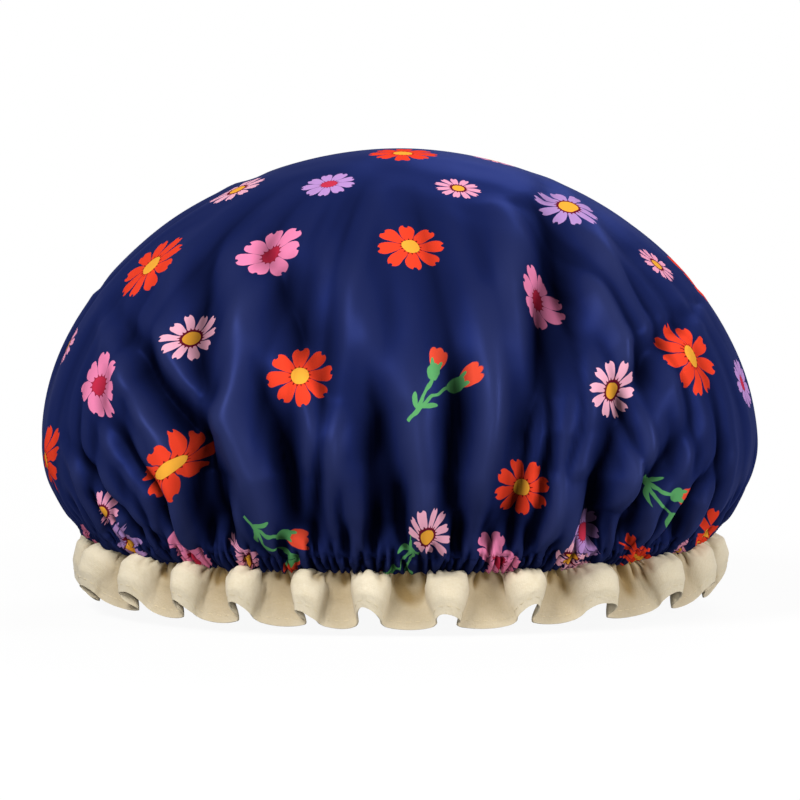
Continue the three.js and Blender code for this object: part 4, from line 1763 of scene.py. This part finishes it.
    def build(self) -> Piece:
        """Shape the ruffle with its two faces and its folded edge.

        Returns:
            The ruffle.
        """
        self.grid = self.gathers(self.surface())
        rows, columns = self.grid.shape[:2]
        ruffle = add_mesh("cotton_ruffle", self.grid.reshape(-1, 3), ring_faces([columns] * rows))
        edge = self.grid[-1]
        steps = np.linalg.norm(np.roll(edge, -1, axis=0) - edge, axis=-1)
        walked = np.concatenate([[0], np.cumsum(steps)[:-1]])
        hidden = np.linspace(-self.heading, 0, self.heading_rows, endpoint=False)
        across, along = np.meshgrid(walked, np.concatenate([hidden, np.linspace(0, self.strip, self.rows)]))
        set_uv(ruffle, "cloth", np.stack([across.ravel(), along.ravel()], axis=-1))
        self.edge_length = float(steps.sum())
        # Painted shade for the troughs, the necks and the creases.
        store(ruffle.data, "fold_depth", "FLOAT", "POINT", self.shade)
        select_only(ruffle)
        solid = ruffle.modifiers.new("solidify", "SOLIDIFY")
        solid.thickness = self.thick * MM
        solid.offset = 0.0
        solid.use_even_offset = False
        bpy.ops.object.modifier_apply(modifier=solid.name)
        # The folded edge keeps a crisp turn, so that the cloth stays light right down to it.
        bpy.ops.object.shade_smooth_by_angle(angle=math.radians(65))
        return ruffle

    def hem_line(self) -> tuple[Array, Array]:
        """The row that holds the turned-up edge.

        Returns:
            The row's points on the cloth's outer face, and its normals.
        """
        share = 1 - self.turn_up / self.strip
        row = self.heading_rows + int(round(share * (self.rows - 1)))
        normals = grid_normals(self.grid)[row]
        return self.grid[row] + normals * (self.thick / 2), normals

    def dress(self, ruffle: Piece) -> None:
        """Give the ruffle its cotton."""
        stand_for(ruffle, CottonMuslin().material(), "cotton", "ruffle")


@dataclass(frozen=True)
class Stitching:
    """A row of short stitches, each a small rounded thread that dips into the cloth at both ends.

    Sizes are in millimetres. The rise of a stitch's middle and the dip of its ends are shares of the thread.
    """

    thread: float = 0.17
    length: float = 2.2
    pitch: float = 3.0
    bends: tuple[float, ...] = (-0.34, 0.0, 0.34)
    rise: float = 0.4
    dip: float = 1.6
    look_ahead: float = 0.6

    def stitch(self) -> tuple[Array, list[tuple[int, ...]]]:
        """Model one stitch along X, its ends bent down.

        Returns:
            Its points in millimetres and its faces.
        """
        deselect()
        along_x = (0, math.pi / 2, 0)
        bpy.ops.mesh.primitive_cylinder_add(
            vertices=6, radius=self.thread / 2, depth=self.length, rotation=along_x
        )
        item = bpy.context.object
        bpy.ops.object.transform_apply(location=False, rotation=True, scale=False)
        bpy.ops.object.mode_set(mode="EDIT")
        for share in self.bends:
            bpy.ops.mesh.select_all(action="SELECT")
            bpy.ops.mesh.bisect(plane_co=(share * self.length, 0, 0), plane_no=(1, 0, 0))
        bpy.ops.object.mode_set(mode="OBJECT")
        points = np.array([v.co[:] for v in item.data.vertices])
        faces = [tuple(p.vertices) for p in item.data.polygons]
        bpy.data.objects.remove(item, do_unlink=True)
        ends = np.abs(points[:, 0]) / (self.length / 2)
        points[:, 2] += self.thread * self.rise - self.thread * self.dip * ends**3
        return points, faces

    def build(self, name: str, line: Array, outward: Array) -> Piece:
        """Lay stitches along a closed line.

        Args:
            name: The object's name.
            line: Points of the line.
            outward: The direction off the cloth at each point.

        Returns:
            The row of stitches as one object.
        """
        steps = np.linalg.norm(np.diff(np.vstack([line, line[:1]]), axis=0), axis=1)
        walked = np.concatenate([[0], np.cumsum(steps)])
        count = int(walked[-1] / self.pitch)
        centres = (np.arange(count) + 0.5) * walked[-1] / count

        def read(values: Array, where: Array) -> Array:
            """The values at distances along the line."""
            closed = np.vstack([values, values[:1]])
            return np.stack([np.interp(where, walked, closed[:, k]) for k in range(3)], axis=-1)

        at, up = read(line, centres), unit(read(outward, centres))
        ahead = read(line, (centres + self.look_ahead) % walked[-1]) - at
        ahead = unit(ahead - up * np.sum(ahead * up, axis=-1, keepdims=True))
        side = np.cross(up, ahead)
        shape, faces = self.stitch()
        points, polygons = [], []
        for number in range(count):
            first = number * len(shape)
            level = at[number] + shape[:, :1] * ahead[number] + shape[:, 1:2] * side[number]
            points.append(level + shape[:, 2:] * up[number])
            polygons += [tuple(first + corner for corner in face) for face in faces]
        return add_mesh(name, np.vstack(points), polygons)

    def dress(self, row: Piece, finish: PlainFinish, slot: str, node: str) -> None:
        """Give a row of stitches its thread."""
        stand_for(row, finish.material(), slot, node)


@dataclass(frozen=True)
class Elastic:
    """The flat woven elastic inside the channel, with one end lapped over the other and sewn.

    Sizes are in millimetres. The zigzag's length is a share of the lap's, and its swing to each side is a
    share of the band's width.
    """

    form: CapForm
    width: float = 5.0
    thick: float = 0.8
    inset: float = 1.2
    bottom: float = 3.0
    lap: float = 12.0
    columns: int = 360
    ribs: int = 13
    rib_depth: float = 0.06
    zigzags: int = 12
    zigzag_length: float = 0.85
    zigzag_swing: float = 0.36
    thread: float = 0.35
    thread_sides: int = 8

    @property
    def half_lap(self) -> float:
        """The angle from the lap's middle to its end, in radians."""
        return self.lap / self.form.hem_depth

    def ring(self, angle: Array, height: float, inset: Array) -> Array:
        """Points of the channel at a height above the seam and a depth inside the crown."""
        latitude = self.form.above_seam(height)
        return self.form.point(angle, latitude) - self.form.normal(angle, latitude) * inset[..., None]

    def build(self) -> Piece:
        """Shape the band, ribbed along its length.

        Returns:
            The band.
        """
        angle = np.linspace(0, TURN, self.columns, endpoint=False)
        half = self.half_lap
        double = 1 - smooth_step(np.abs(angle - math.pi), half, half + 0.02)
        outer = np.full_like(angle, self.inset)
        inner = self.inset + self.thick * (1 + double)
        heights = np.linspace(self.bottom + self.width, self.bottom, self.ribs)
        ribs = self.rib_depth * np.cos(np.arange(self.ribs) * math.pi)
        rows = [self.ring(angle, h, outer + self.rib_depth + rib) for h, rib in zip(heights, ribs)]
        rows += [self.ring(angle, h, inner - self.rib_depth - rib) for h, rib in zip(heights[::-1], ribs)]
        total = len(rows) * self.columns
        faces = ring_faces([self.columns] * (len(rows) + 1))
        faces = [tuple(corner % total for corner in face) for face in faces]
        return add_mesh("woven_elastic", np.array(rows).reshape(-1, 3), faces)

    def build_lap_stitch(self) -> Piece:
        """Sew the lap with a zigzag.

        Returns:
            The zigzag.
        """
        angle = math.pi + np.linspace(-self.half_lap, self.half_lap, self.zigzags + 1) * self.zigzag_length
        inset = np.array([self.inset + 2 * self.thick + 0.5])
        rows = []
        for number, place in enumerate(angle):
            swing = self.zigzag_swing if number % 2 else -self.zigzag_swing
            height = self.bottom + self.width / 2 + swing * self.width
            rows.append(self.ring(np.array([place]), height, inset)[0])
        path = np.array(rows)
        outward = self.form.normal(angle, np.full_like(angle, self.form.tuck_latitude))
        side = unit(np.cross(outward, unit(np.gradient(path, axis=0))))
        sides = self.thread_sides
        turns = np.linspace(0, TURN, sides, endpoint=False)[None, :, None]
        round_path = np.cos(turns) * side[:, None] + np.sin(turns) * outward[:, None]
        tube = path[:, None] + self.thread / 2 * round_path
        last = (len(path) - 1) * sides
        faces = ring_faces([sides] * len(path))
        faces += [tuple(reversed(range(sides))), tuple(range(last, last + sides))]
        return add_mesh("lap_zigzag", tube.reshape(-1, 3), faces)

    def dress(self, band: Piece) -> None:
        """Give the band its weave."""
        stand_for(band, ELASTIC_WEAVE.material(), "elastic_weave", "elastic_band")

    def dress_lap_stitch(self, zigzag: Piece) -> None:
        """Give the zigzag its thread."""
        stand_for(zigzag, NAVY_THREAD.material(), "navy_thread", "elastic_lap_stitch")


@dataclass(frozen=True)
class Lamp:
    """A soft square lamp that faces the cap, with its place and side in metres and its power in watts."""

    name: str
    place: tuple[float, float, float]
    side: float
    power: float

    def build(self, target: Array) -> None:
        """Hang the lamp.

        Args:
            target: The point that it faces.
        """
        data = bpy.data.lights.new(self.name, "AREA")
        data.shape = "SQUARE"
        data.size = self.side
        data.energy = self.power
        lamp = bpy.data.objects.new(self.name, data)
        toward = unit(target - np.array(self.place))
        lamp.location = self.place
        lamp.rotation_euler = (math.acos(-toward[2]), 0.0, math.atan2(-toward[0], toward[1]))
        bpy.context.collection.objects.link(lamp)


@dataclass(frozen=True)
class Studio:
    """A pale floor, a white backdrop and soft lamps. Sizes are in metres."""

    floor_size: float = 6.0
    floor_drop: float = 0.0004
    card: str = "8c8c8c"
    paper: str = "f8f8f8"
    shadow_near: Pair = (0.15, 0.8)
    backdrop_share: Pair = (0.93, 1.0)
    fill: float = 0.1
    lamp_target: tuple[float, float, float] = (0, 0, 0.07)
    lamps: tuple[Lamp, ...] = (
        Lamp("key_lamp", (-0.75, -0.95, 1.15), 0.6, 22.0),
        Lamp("side_lamp", (1.3, -0.55, 0.55), 0.5, 12.0),
        Lamp("back_lamp", (0.3, 1.1, 0.9), 0.6, 8.0),
        Lamp("front_lamp", (0.1, -1.6, 0.35), 0.6, 5.0),
    )

    def seen(self, tree: Tree) -> Socket:
        """Tell what the camera sees, straight or in a shiny or clear surface, from light on the cap.

        Args:
            tree: The node tree.

        Returns:
            1 for what the camera sees, and 0 for the rest.
        """
        known = dict(add_node(tree, "ShaderNodeLightPath").outputs.items())
        add_steps(
            tree,
            known,
            ("seen", "MAXIMUM", "Is Glossy Ray", "Is Transmission Ray"),
            ("seen", "MAXIMUM", "Is Camera Ray", "seen"),
        )
        return known["seen"]

    def build_floor(self) -> None:
        """Add the floor."""
        deselect()
        bpy.ops.mesh.primitive_plane_add(size=self.floor_size, location=(0, 0, -self.floor_drop))
        floor = bpy.context.object
        bpy.ops.object.transform_apply(location=True, rotation=False, scale=False)
        floor.name = "studio_floor"
        made = new_material("white_paper_floor")
        tree = made.node_tree
        known = {"seen": self.seen(tree)}
        # The lamps' light comes back up from a grey card, as if the paper lay beside the cap, not under it.
        tones = {"Factor": known["seen"], 6: linear(self.card), 7: linear(self.paper)}
        tone = add_node(tree, "ShaderNodeMix", tones, data_type="RGBA").outputs[2]
        paper = add_node(tree, "ShaderNodeBsdfPrincipled", {"Base Color": tone, "Roughness": 0.9})
        white = add_node(tree, "ShaderNodeEmission", {"Color": (1, 1, 1, 1), "Strength": 1.0})
        place = add_node(tree, "ShaderNodeTexCoord").outputs["Object"]
        away = add_node(tree, "ShaderNodeVectorMath", {0: place}, operation="LENGTH")
        known["away"] = away.outputs["Value"]
        # Near the cap the paper shows its shadow, and it fades into the white backdrop.
        add_steps(
            tree,
            known,
            ("share", "MASK", "away", *self.shadow_near, *self.backdrop_share),
            ("share", "MULTIPLY", "seen", "share"),
        )
        mixed = {0: known["share"], 1: paper.outputs[0], 2: white.outputs[0]}
        surface = add_node(tree, "ShaderNodeMixShader", mixed).outputs[0]
        add_node(tree, "ShaderNodeOutputMaterial", {"Surface": surface})
        floor.data.materials.append(made)

    def build_world(self) -> None:
        """Light everything evenly and show white behind."""
        world = bpy.data.worlds.new("studio_white")
        bpy.context.scene.world = world
        world.use_nodes = True
        tree = world.node_tree
        tree.nodes.clear()
        around, white = (
            add_node(tree, "ShaderNodeBackground", {"Color": (1, 1, 1, 1), "Strength": strength}).outputs[0]
            for strength in (self.fill, 1.0)
        )
        mixed = add_node(tree, "ShaderNodeMixShader", {0: self.seen(tree), 1: around, 2: white}).outputs[0]
        add_node(tree, "ShaderNodeOutputWorld", {"Surface": mixed})

    def build(self) -> None:
        """Set up the floor, the world, the lamps and the view transform."""
        self.build_floor()
        self.build_world()
        for lamp in self.lamps:
            lamp.build(np.array(self.lamp_target))
        bpy.context.scene.view_settings.view_transform = "Standard"


def report(item: Piece) -> None:
    """Say that a piece is ready, and how many faces it has."""
    LOG.info("%s: %d faces", item.name, len(item.data.polygons))


def main() -> None:
    """Build the studio and the cap, piece by piece."""
    logging.basicConfig(level=logging.INFO, format="%(name)s: %(message)s")
    form = CapForm()
    view = StudioView()
    view.place_camera()
    Studio().build()

    crown_maker = Crown(form, CrownFolds(form, view), PrintLayout())
    crown = crown_maker.build()
    crown_maker.dress(crown)
    report(crown)
    lining = crown_maker.build_lining()
    crown_maker.dress_lining(lining)
    report(lining)

    ruffle_maker = Ruffle(form)
    ruffle = ruffle_maker.build()
    ruffle_maker.dress(ruffle)
    report(ruffle)

    elastic_maker = Elastic(form)
    band = elastic_maker.build()
    elastic_maker.dress(band)
    report(band)
    zigzag = elastic_maker.build_lap_stitch()
    elastic_maker.dress_lap_stitch(zigzag)
    report(zigzag)

    stitching = Stitching()
    casing_line = crown_maker.line_above_seam(form.casing_height)
    seam_line = crown_maker.line_above_seam(ruffle_maker.heading / 2)
    for name, (line, outward), finish, slot, node in (
        ("casing_stitches", casing_line, NAVY_THREAD, "navy_thread", "casing_stitch"),
        ("seam_stitches", seam_line, NAVY_THREAD, "navy_thread", "seam_stitch"),
        ("ruffle_stitches", ruffle_maker.hem_line(), CREAM_THREAD, "cream_thread", "ruffle_hem_stitch"),
    ):
        row = stitching.build(name, line, outward)
        stitching.dress(row, finish, slot, node)
        report(row)


if __name__ == "__main__":
    main()
